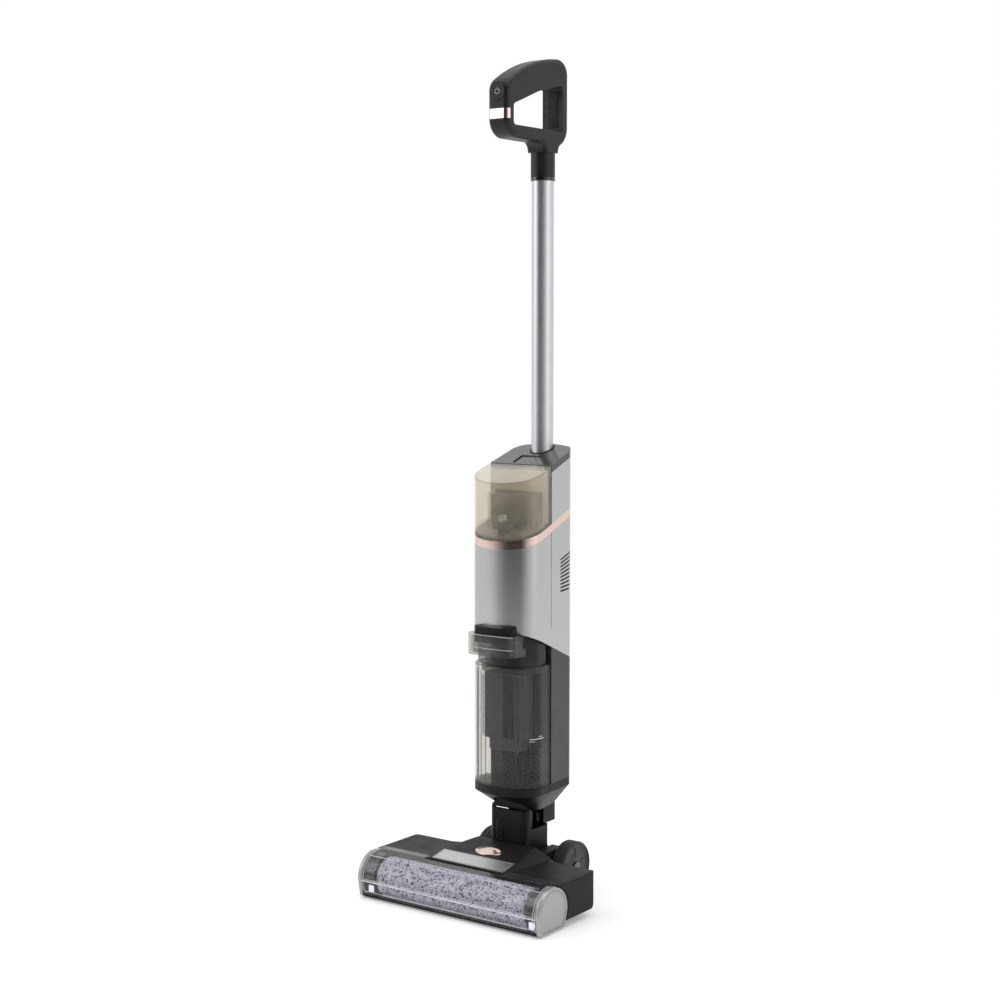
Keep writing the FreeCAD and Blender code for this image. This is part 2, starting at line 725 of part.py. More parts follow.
def suction_hose():
    """Flexible hose from the nozzle duct up through the knuckle: a run, a bend and a rise."""
    start = Vector(0, hump_rear + hose_start, duct_height)
    bend = hose_setback - start.y - 1
    top = steer_height + hose_rise
    bend_start = Vector(0, hose_setback - bend, duct_height)
    bend_end = Vector(0, hose_setback, duct_height + bend)
    corner = Vector(0, hose_setback - bend + bend * math.sin(math.pi / 4),
                    duct_height + bend * (1 - math.cos(math.pi / 4)))
    path = Part.Wire([Part.makeLine(start, bend_start), Part.Arc(bend_start, corner, bend_end).toShape(),
                      Part.makeLine(bend_end, Vector(0, hose_setback, top))])
    ring = Part.Wire(Part.Circle(start, Y, hose_radius).toShape())
    solid = Part.Wire(path).makePipeShell([ring], True, True)
    inner_ring = Part.Wire(Part.Circle(start, Y, hose_radius - hose_wall).toShape())
    return solid.cut(Part.Wire(path).makePipeShell([inner_ring], True, True))


# ================================================================ upright body
def plan_face(z, inset=0.0, front=body_front, back=body_back, half=body_half_width,
              rear_half=body_rear_half_width, corner=nose_corner):
    """Plan outline of the body: a bowed front, nearly straight sides, rounded rear corners."""
    run = half - corner
    arc_center_y = front + nose_radius
    corner_y = arc_center_y - math.sqrt((nose_radius - corner) ** 2 - run ** 2)
    lean = math.atan2(run, arc_center_y - corner_y)
    meet = Vector(nose_radius * math.sin(lean), arc_center_y - nose_radius * math.cos(lean), z)
    half_lean = (lean + math.pi / 2) / 2
    shoulder = Vector(run + corner * math.sin(half_lean), corner_y - corner * math.cos(half_lean), z)
    side = Vector(half, corner_y, z)
    rear_side = Vector(rear_half, back - 25.5, z)
    bulge = Vector(rear_half - 4.2, back - 12.0, z)
    rear_end = Vector(rear_half - 16.5, back - 4.5, z)

    def left(point):
        return Vector(-point.x, point.y, z)

    def arc(a, b, c):
        return Part.Arc(a, b, c).toShape()

    edges = [arc(left(meet), Vector(0, front, z), meet), arc(meet, shoulder, side),
             Part.makeLine(side, rear_side), arc(rear_side, bulge, rear_end),
             arc(rear_end, Vector(0, back, z), left(rear_end)),
             arc(left(rear_end), left(bulge), left(rear_side)), Part.makeLine(left(rear_side), left(side)),
             arc(left(side), left(shoulder), left(meet))]
    face = Part.Face(Part.Wire(edges))
    if inset:
        face = face.makeOffset2D(-inset)
    return face


def plan_prism(z0, z1, inset=0.0):
    return plan_face(z0, inset).extrude(Z * (z1 - z0))


def plan_ring(z0, z1, inset0, inset1):
    return plan_prism(z0, z1, inset0).cut(plan_prism(z0 - 1, z1 + 1, inset1))


def plane_height(front_height, slope, setback):
    return front_height + slope * (setback - body_front)


def below(front_height, slope):
    """Everything under a plane that rises with setback from the body's front."""
    y0, y1 = body_front - 60, body_back + 60
    outline = polygon_yz([(y0, 0), (y1, 0), (y1, plane_height(front_height, slope, y1)),
                          (y0, plane_height(front_height, slope, y0))])
    return prism_x(outline, -beyond, beyond)


def between(shape, low_height, low_slope, high_height, high_slope):
    return shape.common(below(high_height, high_slope)).cut(below(low_height, low_slope))


def front_half(extra=0.0):
    return box(-beyond, beyond, 0, seam_setback - extra, 0, overall_height)


def rear_half():
    return box(-beyond, beyond, seam_setback + wall_thickness, beyond, 0, overall_height)


collar_lug_front = yoke_front + yoke_plate + 1 + lug_gap
collar_pillar_front = yoke_back + 6


def swivel_collar():
    """Upper half of the knuckle: a funnel under the body with two lugs for the steering pins."""
    low = plan_face(collar_bottom, 0, yoke_front + yoke_plate + 2, body_back - 6.5, 31, 26, 20)
    high = plan_face(body_bottom)
    funnel = Part.makeLoft([low.OuterWire, high.OuterWire], True, True)
    recess = rod(yoke_disc_radius + 2, Vector(0, body_front - 27, steer_height),
                 Vector(0, yoke_front + yoke_plate + lug_gap, steer_height))
    funnel = funnel.cut(recess)
    lug_y0, lug_y1 = collar_lug_front, collar_lug_front + steer_lug
    front_lug = fuse_all([box(-steer_lug_radius, steer_lug_radius, lug_y0, lug_y1, steer_height,
                              collar_bottom + 3),
                          rod(steer_lug_radius, Vector(0, lug_y0, steer_height),
                              Vector(0, lug_y1, steer_height))])
    pillar = box(-15, 15, collar_pillar_front, body_back - 6.5, steer_height - 12, collar_bottom + 6)
    pillar = pillar.makeFillet(4, edges_along(pillar, Y, lambda p: p.z < steer_height))
    duct = rod(hose_radius, Vector(0, hose_setback + 2, collar_bottom - 2),
               Vector(0, inlet_setback, body_bottom + 2))
    bore_radius = steer_pin_radius + pin_clearance
    bores = [rod(bore_radius, Vector(0, lug_y0 - 1, steer_height), Vector(0, lug_y1 + 1, steer_height)),
             rod(bore_radius, Vector(0, collar_pillar_front - 1, steer_height),
                 Vector(0, collar_pillar_front + 14, steer_height))]
    return fuse_all([funnel, front_lug, pillar]).cut([duct] + bores)


def tank_tray():
    """Foot of the body, where the dirty water tank stands."""
    tray = plan_prism(body_bottom, tray_top)
    hole = rod(inlet_radius - 1, Vector(0, inlet_setback, body_bottom - 1),
               Vector(0, inlet_setback, tray_top + 1))
    return tray.cut(hole)


def chassis():
    """Upright wall on the seam that ties the tray and the shells together, with the tube's clamp."""
    slab = box(-beyond, beyond, seam_setback, seam_setback + wall_thickness, tray_top, body_high)
    wall = slab.common(plan_prism(tray_top, body_high, body_wall + part_gap))
    wall = wall.common(below(top_front_height - cap_depth - 1, slant))
    return fuse_all([wall, tube_clamp()])


def front_shell():
    """Painted front shell under the clean tank, with a rebate for the accent band."""
    ring = plan_ring(300, 560, 0, body_wall).common(front_half(-wall_thickness))
    shell = between(ring, skirt_front_height, skirt_slant, band_front_height - part_gap, slant)
    return shell.cut(accent_band())


def rear_shell():
    """Painted rear shell, full height, with the vents and the same rebate."""
    ring = plan_ring(280, body_high, 0, body_wall).common(rear_half())
    shell = between(ring, skirt_front_height, skirt_slant, top_front_height - cap_depth, slant)
    tube_relief = rod(tube_radius + part_gap, Vector(0, tube_setback, tube_foot - 6),
                      Vector(0, tube_setback, body_high))
    return shell.cut([accent_band(), tube_relief] + vent_slots())


def vent_slots():
    """Slots through the rear right-hand corner of the painted shell, more steeply slanted higher up."""
    slots = []
    y0, y1 = tube_setback - 26, body_back - 6.5
    for i in range(vent_count):
        slot = box(body_rear_half_width - 14.5, body_half_width + 9, y0, y1, -vent_half, vent_half)
        slot.rotate(Vector(0, y0, 0), X, 4 + 1.6 * i)
        slot.translate(Z * (vent_low + i * vent_pitch))
        slots.append(slot)
    return slots


def lower_rear_shell():
    """Black shell behind the dirty tank."""
    ring = plan_ring(tray_top, 360, 0, body_wall).common(rear_half())
    return ring.common(below(skirt_front_height, skirt_slant))


def accent_band():
    """Slanted metallic band all round the body."""
    ring = plan_ring(400, 560, 0, band_thickness)
    return between(ring, band_low, slant, band_front_height, slant)


def top_cap():
    """Slanted cap behind the clean tank, with the hole for the tube and the recess for the latch."""
    slab = plan_prism(520, body_high).common(rear_half())
    cap = between(slab, top_front_height - cap_depth, slant, top_front_height, slant)
    tube_hole = rod(tube_radius + part_gap, Vector(0, tube_setback, 0), Vector(0, tube_setback, 900))
    latch_hole = box(-latch_half - part_gap, latch_half + part_gap, latch_front - part_gap,
                     latch_back + part_gap, 0, 900)
    return cap.cut([tube_hole, latch_hole])


def clean_tank_latch():
    """Thumb latch between the clean tank and the tube."""
    block = box(-latch_half, latch_half, latch_front, latch_back, 500, body_high)
    return between(block, top_front_height - cap_depth + 1, slant, top_front_height - latch_sink, slant)


def tank_bay_deck():
    """Floor under the clean tank, with the pump tower that stands in the tank's rear recess."""
    slab = plan_prism(440, 520, body_wall + part_gap).common(front_half())
    deck = between(slab, band_low + 4, slant, band_front_height - part_gap, slant)
    tower = box(-tower_half_width, tower_half_width, tower_front, seam_setback,
                plane_height(band_low, slant, tower_front) + 8, tower_top)
    inner_x = tower_half_width - tower_wall
    hollow = box(-inner_x, inner_x, tower_front + tower_wall, seam_setback, 400, tower_top - tower_wall)
    seat = rod(valve_radius + part_gap, Vector(0, valve_setback, 400), Vector(0, valve_setback, 600))
    return fuse_all([deck, tower]).cut([hollow, seat])


def tank_ceiling():
    """Plate under the painted shell that closes the bay over the dirty tank."""
    slab = plan_prism(300, 380, body_wall + part_gap).common(front_half())
    plate = between(slab, skirt_front_height, skirt_slant, skirt_front_height + ceiling_thickness,
                    skirt_slant)
    port = rod(14, Vector(0, inlet_setback, 200), Vector(0, inlet_setback, 500))
    return plate.cut(port)


def fan_axis(z):
    return Vector(0, inlet_setback - 2, z)


def impeller():
    """Radial suction fan on its own shaft."""
    low = fan_axis(fan_low)
    disc = rod(fan_radius, low, low + Z * 1.5)
    blades = []
    for i in range(fan_blades):
        blade = box(5, fan_radius - 0.5, -0.6, 0.6, 0, 6.5)
        blade.rotate(Vector(0, 0, 0), Z, i * 360 / fan_blades)
        blade.translate(low + Z * 1.4)
        blades.append(blade)
    shaft = rod(fan_shaft_radius, low, low + Z * 40)
    hub = rod(5.5, low, low + Z * 8)
    return fuse_all([disc, hub, shaft] + blades)


def suction_motor():
    low = fan_axis(motor_case_low)
    high = fan_axis(motor_case_high)
    case = fuse_all([rod(motor_case_radius, low, high), rod(motor_case_radius - 8, high, high + Z * 5)])
    bore = rod(fan_shaft_radius + pin_clearance, low - Z, low + Z * 30)
    edges = [e for e in case.Edges if e.Curve.TypeId == "Part::GeomCircle"
             and abs(e.Curve.Radius - motor_case_radius) < 0.01 and e.CenterOfMass.z > motor_case_high - 1]
    return case.makeFillet(3, edges).cut(bore)


def battery_case():
    """Open box for the cells, standing on the tray."""
    half, y0, y1 = battery_half_width, battery_front, battery_front + battery_depth
    outer = rounded_block(-half, half, y0, y1, tray_top, tray_top + battery_height, 6)
    wall = battery_wall
    inner = box(-half + wall, half - wall, y0 + wall - 1, y1 - wall + 1, tray_top + wall,
                tray_top + battery_height + 1)
    return outer.cut(inner)


def battery_cells():
    """Cylindrical cells, two deep and as many across as the case takes."""
    pitch = 2 * cell_radius + 2.6
    across = int(2 * (battery_half_width - battery_wall) / pitch)
    middle = battery_front + battery_depth / 2
    cells = []
    for i in range(across):
        x = (i - (across - 1) / 2) * pitch
        for y in (middle - pitch / 2 + 0.3, middle + pitch / 2 - 0.3):
            low = Vector(x, y, tray_top + battery_wall + 0.5)
            end = low + Z * cell_length
            cells.append(fuse_all([rod(cell_radius, low, end), rod(3, end, end + Z * 1.5)]))
    return Part.makeCompound(cells)


def circuit_board():
    """Control board with four components."""
    back = board_front + board_thickness
    board = box(-board_half_width, board_half_width, board_front, back, board_low, board_high)
    chips = [box(-22, -6, back, back + 2.9, board_low + 20, board_low + 40),
             box(4, 22, back, back + 8.4, board_low + 50, board_low + 66),
             box(-24, -14, back, back + 12.4, board_low + 70, board_low + 88),
             box(6, 26, back, back + 2.4, board_low + 12, board_low + 26)]
    return fuse_all([board] + chips)


def water_pump():
    """Small pump with its motor nose and spout."""
    center = Vector(0, pump_setback, pump_height)
    body = rod(pump_radius, center - X * 16, center + X * 16)
    nose = rod(pump_radius - 4, center + X * 16, center + X * 24)
    spout = rod(3, center - Z * 20, center)
    return fuse_all([body, nose, spout])


def tube_clamp():
    """Clamp inside the body that holds the foot of the tube."""
    high = plane_height(top_front_height, slant, tube_setback) - cap_depth - 8
    socket = rod(tube_radius + clamp_wall, Vector(0, tube_setback, tube_foot - 6), Vector(0, tube_setback, high))
    bore = rod(tube_radius + part_gap, Vector(0, tube_setback, tube_foot), Vector(0, tube_setback, high + 1))
    inside = plan_prism(tube_foot - 10, high + 5, body_wall + part_gap)
    web = box(-12, 12, seam_setback + wall_thickness, tube_setback - tube_radius - 2, tube_foot - 6,
              tube_foot + 14)
    return fuse_all([socket, web]).common(inside).cut(bore)


# ================================================================ dirty water tank
def tank_plan(z0, z1, inset):
    """The body's plan in front of the seam, closed by a flat back."""
    return plan_prism(z0, z1, inset).common(front_half(inset + part_gap))


def dirty_tank():
    """Open-topped tank with a rounded rim, on the tray."""
    low = tray_top + part_gap
    outer = tank_plan(low, dirty_tank_top, tank_inset)
    rim = [e for e in outer.Edges if e.CenterOfMass.z > dirty_tank_top - 0.5]
    outer = outer.makeFillet(3.5, rim)
    inner = tank_plan(low + tank_wall, dirty_tank_top - tank_wall, tank_inset + tank_wall)
    mouth = tank_plan(low + 20, dirty_tank_top + 5, tank_mouth_edge)
    inlet = rod(inlet_radius, Vector(0, inlet_setback, 0), Vector(0, inlet_setback, low + 5))
    return outer.cut([inner, mouth, inlet])


def tank_lid():
    """Black lid: a plug in the tank's mouth and a head that rises to the shell's slanted edge."""
    plug = tank_plan(dirty_tank_top - 12, dirty_tank_top + 1, tank_mouth_edge + part_gap)
    head = tank_plan(dirty_tank_top, 380, head_inset)
    head = head.common(below(skirt_front_height - 1.5, skirt_slant))
    port = rod(10, Vector(0, inlet_setback, 200), Vector(0, inlet_setback, 500))
    hollow = tank_plan(dirty_tank_top - 13, dirty_tank_top + 4, tank_mouth_edge + 5)
    return fuse_all([plug, head]).cut([port, hollow])


def collar_outline(front, half, back):
    corner = 6.0
    points = [Vector(-half, back, 0), Vector(-half, front + 8, 0), Vector(-half + corner, front + 2.2, 0),
              Vector(0, front, 0), Vector(half - corner, front + 2.2, 0), Vector(half, front + 8, 0),
              Vector(half, back, 0)]
    return Part.Wire([Part.makeLine(points[0], points[1]), Part.makeLine(points[1], points[2]),
                      Part.Arc(points[2], points[3], points[4]).toShape(),
                      Part.makeLine(points[4], points[5]), Part.makeLine(points[5], points[6]),
                      Part.makeLine(points[6], points[0])])


def crescent(front, half, z0, z1, gap):
    """Solid that stands in front of the body and hugs its nose."""
    face = Part.Face(collar_outline(front, half, body_front + body_half_width - 20))
    solid = face.extrude(Z * (z1 - z0))
    solid.translate(Z * z0)
    return solid.cut(plan_prism(z0 - 1, z1 + 1, gap))


def tank_collar():
    """Clear grip round the front of the dirty tank's head, with a pocket for the latch."""
    foot = crescent(collar_front, collar_half_width, collar_low, collar_step, head_inset)
    wall = crescent(collar_front, collar_half_width, collar_step - 1, collar_high, -part_gap)
    pocket = crescent(collar_front + collar_wall, collar_half_width - collar_wall - 2,
                      collar_low + collar_wall, collar_high + 1, -part_gap)
    return fuse_all([foot, wall]).cut(pocket)


def tank_latch_button():
    """Black thumb latch in the top of the collar."""
    return crescent(collar_front + collar_wall + 1, collar_half_width - collar_wall - 4,
                    collar_high - tank_latch_depth, tank_latch_high, -part_gap - 0.7)


def inlet_tube():
    """Standpipe inside the dirty tank."""
    low = tray_top + part_gap
    return pipe(inlet_radius, inlet_radius - pipe_wall, Vector(0, inlet_setback, low),
                Vector(0, inlet_setback, pipe_top))


def separator():
    """Dark strainer and float housing that hangs round the standpipe, tapered at its foot."""
    half, front, back = separator_half, separator_front, separator_back
    knee = separator_low + separator_taper
    block = rounded_block(-half, half, front, back, knee, separator_top, 8)
    taper = rounded_block(-half + 6, half - 6, front + 4, back - 4, separator_low, knee, 6)
    bore = rod(inlet_radius + part_gap, Vector(0, inlet_setback, 100), Vector(0, inlet_setback, 400))
    return fuse_all([block, taper]).cut([bore])


# ================================================================ clean water tank
def clean_tank():
    """Tank between the band and the slanted top, with a rear recess that clears the pump tower."""
    outer = plan_prism(440, body_high).common(front_half(part_gap))
    outer = between(outer, band_front_height + part_gap, slant, top_front_height, slant)
    inner = plan_prism(440, body_high, tank_wall).common(front_half(tank_wall + part_gap))
    inner = between(inner, band_front_height + part_gap + tank_wall, slant,
                    top_front_height - tank_wall, slant)
    half, front, top = tower_half_width + tower_gap, tower_front - tower_gap, tower_top + tower_gap
    recess = box(-half, half, front, beyond, 0, top)
    wrap = box(-half - tank_wall, half + tank_wall, front - tank_wall, beyond, 0, top + tank_wall)
    outlet = rod(valve_radius - 2, Vector(0, valve_setback, 0), Vector(0, valve_setback, band_front_height + 20))
    return outer.cut(recess).cut(inner.cut(wrap)).cut(outlet)


def tank_valve():
    """Outlet valve body that stands in the clean tank."""
    floor_z = plane_height(band_front_height + part_gap, slant, valve_setback)
    stem = rod(valve_radius - 2.2, Vector(0, valve_setback, floor_z - 8), Vector(0, valve_setback, floor_z + 9))
    head = rod(valve_radius + 5, Vector(0, valve_setback, floor_z + 8), Vector(0, valve_setback, floor_z + 16))
    return fuse_all([stem, head])


# ================================================================ tube and handle
def handle_tube():
    low = Vector(0, tube_setback, tube_foot + 0.5)
    return pipe(tube_radius, tube_radius - tube_wall, low,
                Vector(0, tube_setback, sleeve_bottom + tube_overlap))


def side_point(y, z):
    return Vector(0, y, z)


def side_arc(start, through, end):
    return Part.Arc(side_point(*start), side_point(*through), side_point(*end)).toShape()


def side_line(start, end):
    return Part.makeLine(side_point(*start), side_point(*end))


def handle_outline():
    """Side view of the D-shaped grip and the flare where it meets the sleeve."""
    front, back, low, top = handle_front, overall_depth, handle_bottom, overall_height
    neck_front, neck_back = tube_setback - sleeve_radius, tube_setback + sleeve_radius
    brow = (front + 11, button_height + 18)
    corner = handle_corner * (1 - math.sqrt(0.5))
    return Part.Wire([
        side_line((neck_back, low - 12), (neck_front, low - 12)),
        side_arc((neck_front, low - 12), (neck_front - 3.5, low - 3.5), (neck_front - 12, low)),
        side_line((neck_front - 12, low), (front + 24, low)),
        side_arc((front + 24, low), (front + 7, low + 7), (front, low + 24)),
        side_line((front, low + 24), (front, button_height + 2)),
        side_arc((front, button_height + 2), (front + 3.2, button_height + 11), brow),
        side_arc(brow, (front + 62, top - 11), (back - handle_corner, top)),
        side_arc((back - handle_corner, top), (back - corner, top - corner), (back, top - handle_corner)),
        side_line((back, top - handle_corner), (back, low + 22)),
        side_arc((back, low + 22), (back - 5, low + 7), (back - 16, low - 2)),
        side_arc((back - 16, low - 2), (neck_back + 1, low - 7), (neck_back, low - 12)),
    ])


def handle_opening():
    """Finger opening of the grip, low at the front and high at the back."""
    middle = ((opening_front + opening_back) / 2, (opening_front_top + opening_back_top) / 2 + 4)
    outline = polygon_yz([(opening_front, opening_floor), (opening_back, opening_floor),
                          (opening_back, opening_back_top), middle, (opening_front, opening_front_top)])
    solid = prism_x(outline, -beyond, beyond)
    edges = edges_along(solid, X, lambda q: abs(q.y - opening_front) < 1 or abs(q.y - opening_back) < 1)
    return solid.makeFillet(opening_corner, edges)


def handle_solid():
    loop = prism_x(handle_outline(), -handle_half_width, handle_half_width)
    rims = [e for e in loop.Edges if all(abs(abs(v.X) - handle_half_width) < 0.01 for v in e.Vertexes)
            and e.CenterOfMass.z > handle_bottom - 11.5]
    loop = loop.makeFillet(handle_rounding, rims)
    sleeve = rod(sleeve_radius, Vector(0, tube_setback, sleeve_bottom),
                 Vector(0, tube_setback, handle_bottom + 4))
    tube_hole = rod(tube_radius, Vector(0, tube_setback, 0),
                    Vector(0, tube_setback, sleeve_bottom + tube_overlap))
    return loop.fuse(sleeve).cut([handle_opening(), tube_hole])


def front_strip():
    """Region of the separate front cover of the grip."""
    back, low, high = handle_front + cover_depth, handle_bottom, button_height + 15
    outside = (handle_front - 30, low - 80)
    outline = Part.Wire([
        side_line(outside, (back + 23.5, low - 80)),
        side_line((back + 23.5, low - 80), (back + 23.5, low + 6)),
        side_arc((back + 23.5, low + 6), (back + 5.5, low + 11), (back, low + 24)),
        side_line((back, low + 24), (back, high)),
        side_line((back, high), (handle_front - 30, high)),
        side_line((handle_front - 30, high), outside),
    ])
    return prism_x(outline, -beyond, beyond)


def grip_band_core():
    """What the band on the grip's front wraps round."""
    half = handle_half_width - grip_band_thickness
    front = handle_front + grip_band_thickness
    return rounded_block(-half, half, front, front + 40, grip_band_low, grip_band_high,
                         handle_rounding - grip_band_thickness)


def handle_grip():
    return handle_solid().cut(front_strip())


def handle_front_cover():
    """Front cover of the grip, with the pocket for the power button and a rebate for the band."""
    strip = handle_solid().common(front_strip()).cut(handle_band())
    pocket = rod(button_radius + part_gap, Vector(0, handle_front - 10, button_height),
                 Vector(0, handle_front + button_pocket, button_height))
    return strip.cut(pocket)


def handle_band():
    """Metallic band round the front of the grip."""
    slab = box(-beyond, beyond, 0, beyond, grip_band_low, grip_band_high)
    return handle_solid().common(front_strip()).common(slab).cut(grip_band_core())


def power_button():
    face = Vector(0, handle_front - 0.6, button_height)
    return rod(button_radius, face, face + Y * (button_pocket - 1.9))


def grip_pad():
    """Soft pad on the inner side of the rear bar of the grip."""
    low, high = opening_floor + 7, opening_back_top - 9
    block = box(-pad_half_width, pad_half_width, opening_back - pad_thickness, opening_back, low, high)
    return block.makeFillet(2.2, edges_along(block, Z, lambda q: q.y < opening_back - 1))


# ================================================================ the model
def model():
    """Every piece by name."""
    return {
        "nozzle_housing": nozzle_housing(),
        "base_plate": base_plate(),
        "end_cap_right": end_cap(),
        "end_cap_left": mirrored(end_cap()),
        "brush_cover": brush_cover(),
        "lamp_housings": lamp_housings(),
        "lamp_lenses": lamp_lenses(),
        "label_plate": label_plate(),
        "brush_release_button": brush_release_button(),
        "brush_release_spring": brush_release_spring(),
        "roller_core": roller_core(),
        "roller_nap": roller_nap(),
        "roller_bearings": roller_bearings(),
        "brush_pulley": pulley(brush_pulley_radius, belt_axis(roller_setback, roller_radius), axle_radius),
        "motor_pulley": motor_pulley(),
        "brush_motor": brush_motor(),
        "drive_belt": drive_belt(),
        "squeegee": squeegee(),
        "base_screws": base_screws(),
        "wheel_hub_right": wheel_hub(),
        "wheel_hub_left": mirrored(wheel_hub()),
        "tyre_right": wheel_tyre(),
        "tyre_left": mirrored(wheel_tyre()),
        "wheel_axles": Part.makeCompound(both_sides(wheel_axle())),
        "recline_pins": recline_pins(),
        "neck_yoke": yoke(),
        "neck_button": neck_button(),
        "steer_pins": steer_pins(),
        "suction_hose": suction_hose(),
        "swivel_collar": swivel_collar(),
        "tank_tray": tank_tray(),
        "chassis": chassis(),
        "front_shell": front_shell(),
        "rear_shell": rear_shell(),
        "lower_rear_shell": lower_rear_shell(),
        "accent_band": accent_band(),
        "top_cap": top_cap(),
        "clean_tank_latch": clean_tank_latch(),
        "tank_bay_deck": tank_bay_deck(),
        "tank_ceiling": tank_ceiling(),
        "impeller": impeller(),
        "suction_motor": suction_motor(),
        "battery_case": battery_case(),
        "battery_cells": battery_cells(),
        "circuit_board": circuit_board(),
        "water_pump": water_pump(),
        "dirty_tank": dirty_tank(),
        "tank_lid": tank_lid(),
        "tank_collar": tank_collar(),
        "tank_latch_button": tank_latch_button(),
        "inlet_tube": inlet_tube(),
        "separator": separator(),
        "clean_tank": clean_tank(),
        "tank_valve": tank_valve(),
        "handle_tube": handle_tube(),
        "handle_grip": handle_grip(),
        "handle_front_cover": handle_front_cover(),
        "handle_band": handle_band(),
        "power_button": power_button(),
        "grip_pad": grip_pad(),
    }


def export(nodes):
    os.makedirs("parts", exist_ok=True)
    for name, shape in nodes.items():
        shape.translate(Y * (-overall_depth / 2))
        shape.exportStep("parts/" + name + ".step")
        solids = len(shape.Solids)
        print(name, "solids", solids, "volume_cm3", round(shape.Volume / 1000, 2), "valid", shape.isValid())


export(model())
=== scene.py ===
"""Looks of the cordless wet dry floor scrubber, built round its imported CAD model.

Metres, in the CAD model's own frame: +Z up, the nozzle faces -Y, the floor is z = 0.
"""
import math
import random

import bmesh
import bpy
import mathutils
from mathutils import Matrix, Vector
from mathutils.bvhtree import BVHTree


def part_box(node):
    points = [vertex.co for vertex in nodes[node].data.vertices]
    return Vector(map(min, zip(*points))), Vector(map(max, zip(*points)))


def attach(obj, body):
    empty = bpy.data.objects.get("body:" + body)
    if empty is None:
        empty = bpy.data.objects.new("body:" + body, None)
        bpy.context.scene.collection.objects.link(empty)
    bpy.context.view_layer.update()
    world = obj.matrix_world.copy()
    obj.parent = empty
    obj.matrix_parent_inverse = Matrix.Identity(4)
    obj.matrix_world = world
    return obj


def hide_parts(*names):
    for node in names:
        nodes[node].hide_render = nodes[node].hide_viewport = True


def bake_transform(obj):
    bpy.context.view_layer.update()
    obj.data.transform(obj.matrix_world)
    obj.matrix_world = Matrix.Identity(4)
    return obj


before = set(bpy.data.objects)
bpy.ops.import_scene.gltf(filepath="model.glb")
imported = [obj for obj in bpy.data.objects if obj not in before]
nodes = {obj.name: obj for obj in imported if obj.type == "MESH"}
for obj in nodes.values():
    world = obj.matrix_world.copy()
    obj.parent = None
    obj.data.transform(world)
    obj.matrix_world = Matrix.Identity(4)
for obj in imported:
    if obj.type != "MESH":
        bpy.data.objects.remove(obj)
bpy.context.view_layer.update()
mm = 0.001


# ================================================================ materials
def new_material(name):
    made = bpy.data.materials.new(name)
    made.use_nodes = True
    tree = made.node_tree
    shader = tree.nodes["Principled BSDF"]
    return made, tree, shader


def add(tree, kind, **settings):
    node = tree.nodes.new(kind)
    for key, value in settings.items():
        setattr(node, key, value)
    return node


def object_point(tree, scale=(1, 1, 1)):
    """Place on the piece, stretched, so that a pattern keeps to the piece and not to the camera."""
    where = add(tree, "ShaderNodeTexCoord")
    stretch = add(tree, "ShaderNodeMapping")
    stretch.inputs["Scale"].default_value = scale
    tree.links.new(where.outputs["Object"], stretch.inputs["Vector"])
    return stretch.outputs["Vector"]


def noise(tree, scale, detail=2.0, stretch=(1, 1, 1)):
    texture = add(tree, "ShaderNodeTexNoise")
    texture.inputs["Scale"].default_value = scale
    texture.inputs["Detail"].default_value = detail
    tree.links.new(object_point(tree, stretch), texture.inputs["Vector"])
    return texture.outputs["Fac"]


def ramp(tree, value, low, high, start=0.3, end=0.7):
    """Colours between low and high as a value goes from start to end."""
    made = add(tree, "ShaderNodeValToRGB")
    first, last = made.color_ramp.elements
    first.position, last.position = start, end
    first.color, last.color = (*low, 1), (*high, 1)
    tree.links.new(value, made.inputs["Fac"])
    return made.outputs["Color"]


def spread(tree, value, low, high):
    """A number between low and high that follows a value."""
    made = add(tree, "ShaderNodeMapRange")
    made.inputs["From Min"].default_value = 0.3
    made.inputs["From Max"].default_value = 0.7
    made.inputs["To Min"].default_value = low
    made.inputs["To Max"].default_value = high
    tree.links.new(value, made.inputs["Value"])
    return made.outputs["Result"]


def bump(tree, shader, value, strength, depth=0.0002, edge=0.0):
    """Fine relief; with edge set, sharp edges catch the light as if rounded by that many metres."""
    made = add(tree, "ShaderNodeBump")
    if edge:
        rounding = add(tree, "ShaderNodeBevel", samples=4)
        rounding.inputs["Radius"].default_value = edge
        tree.links.new(rounding.outputs["Normal"], made.inputs["Normal"])
    made.inputs["Strength"].default_value = strength
    made.inputs["Distance"].default_value = depth
    tree.links.new(value, made.inputs["Height"])
    tree.links.new(made.outputs["Normal"], shader.inputs["Normal"])


def shade(color, factor):
    return tuple(min(1.0, c * factor) for c in color)


def plastic(name, color, roughness=0.45, grain=900, grain_bump=0.12, specular=0.5, coat=0.0,
            edge=0.0008):
    """Moulded plastic: a fine grain in the tool's surface and slow changes of gloss."""
    made, tree, shader = new_material(name)
    slow = noise(tree, 18, 3)
    tree.links.new(ramp(tree, slow, shade(color, 0.86), shade(color, 1.14)),
                   shader.inputs["Base Color"])
    tree.links.new(spread(tree, noise(tree, 45, 4), roughness - 0.05, roughness + 0.06),
                   shader.inputs["Roughness"])
    shader.inputs["Specular IOR Level"].default_value = specular
    shader.inputs["Coat Weight"].default_value = coat
    shader.inputs["Coat Roughness"].default_value = 0.08
    bump(tree, shader, noise(tree, grain, 2), grain_bump, 0.0001, edge)
    return made


def metallic_paint(name, color, roughness=0.38, flake=2600):
    """Satin paint with metal flake under it."""
    made, tree, shader = new_material(name)
    tree.links.new(ramp(tree, noise(tree, flake, 1), shade(color, 0.94), shade(color, 1.06)),
                   shader.inputs["Base Color"])
    shader.inputs["Metallic"].default_value = 0.94
    tree.links.new(spread(tree, noise(tree, 6, 1), roughness - 0.01, roughness + 0.02),
                   shader.inputs["Roughness"])
    shader.inputs["Coat Weight"].default_value = 0.25
    shader.inputs["Coat Roughness"].default_value = 0.22
    bump(tree, shader, noise(tree, flake, 1), 0.02, 0.00002, 0.0008)
    return made


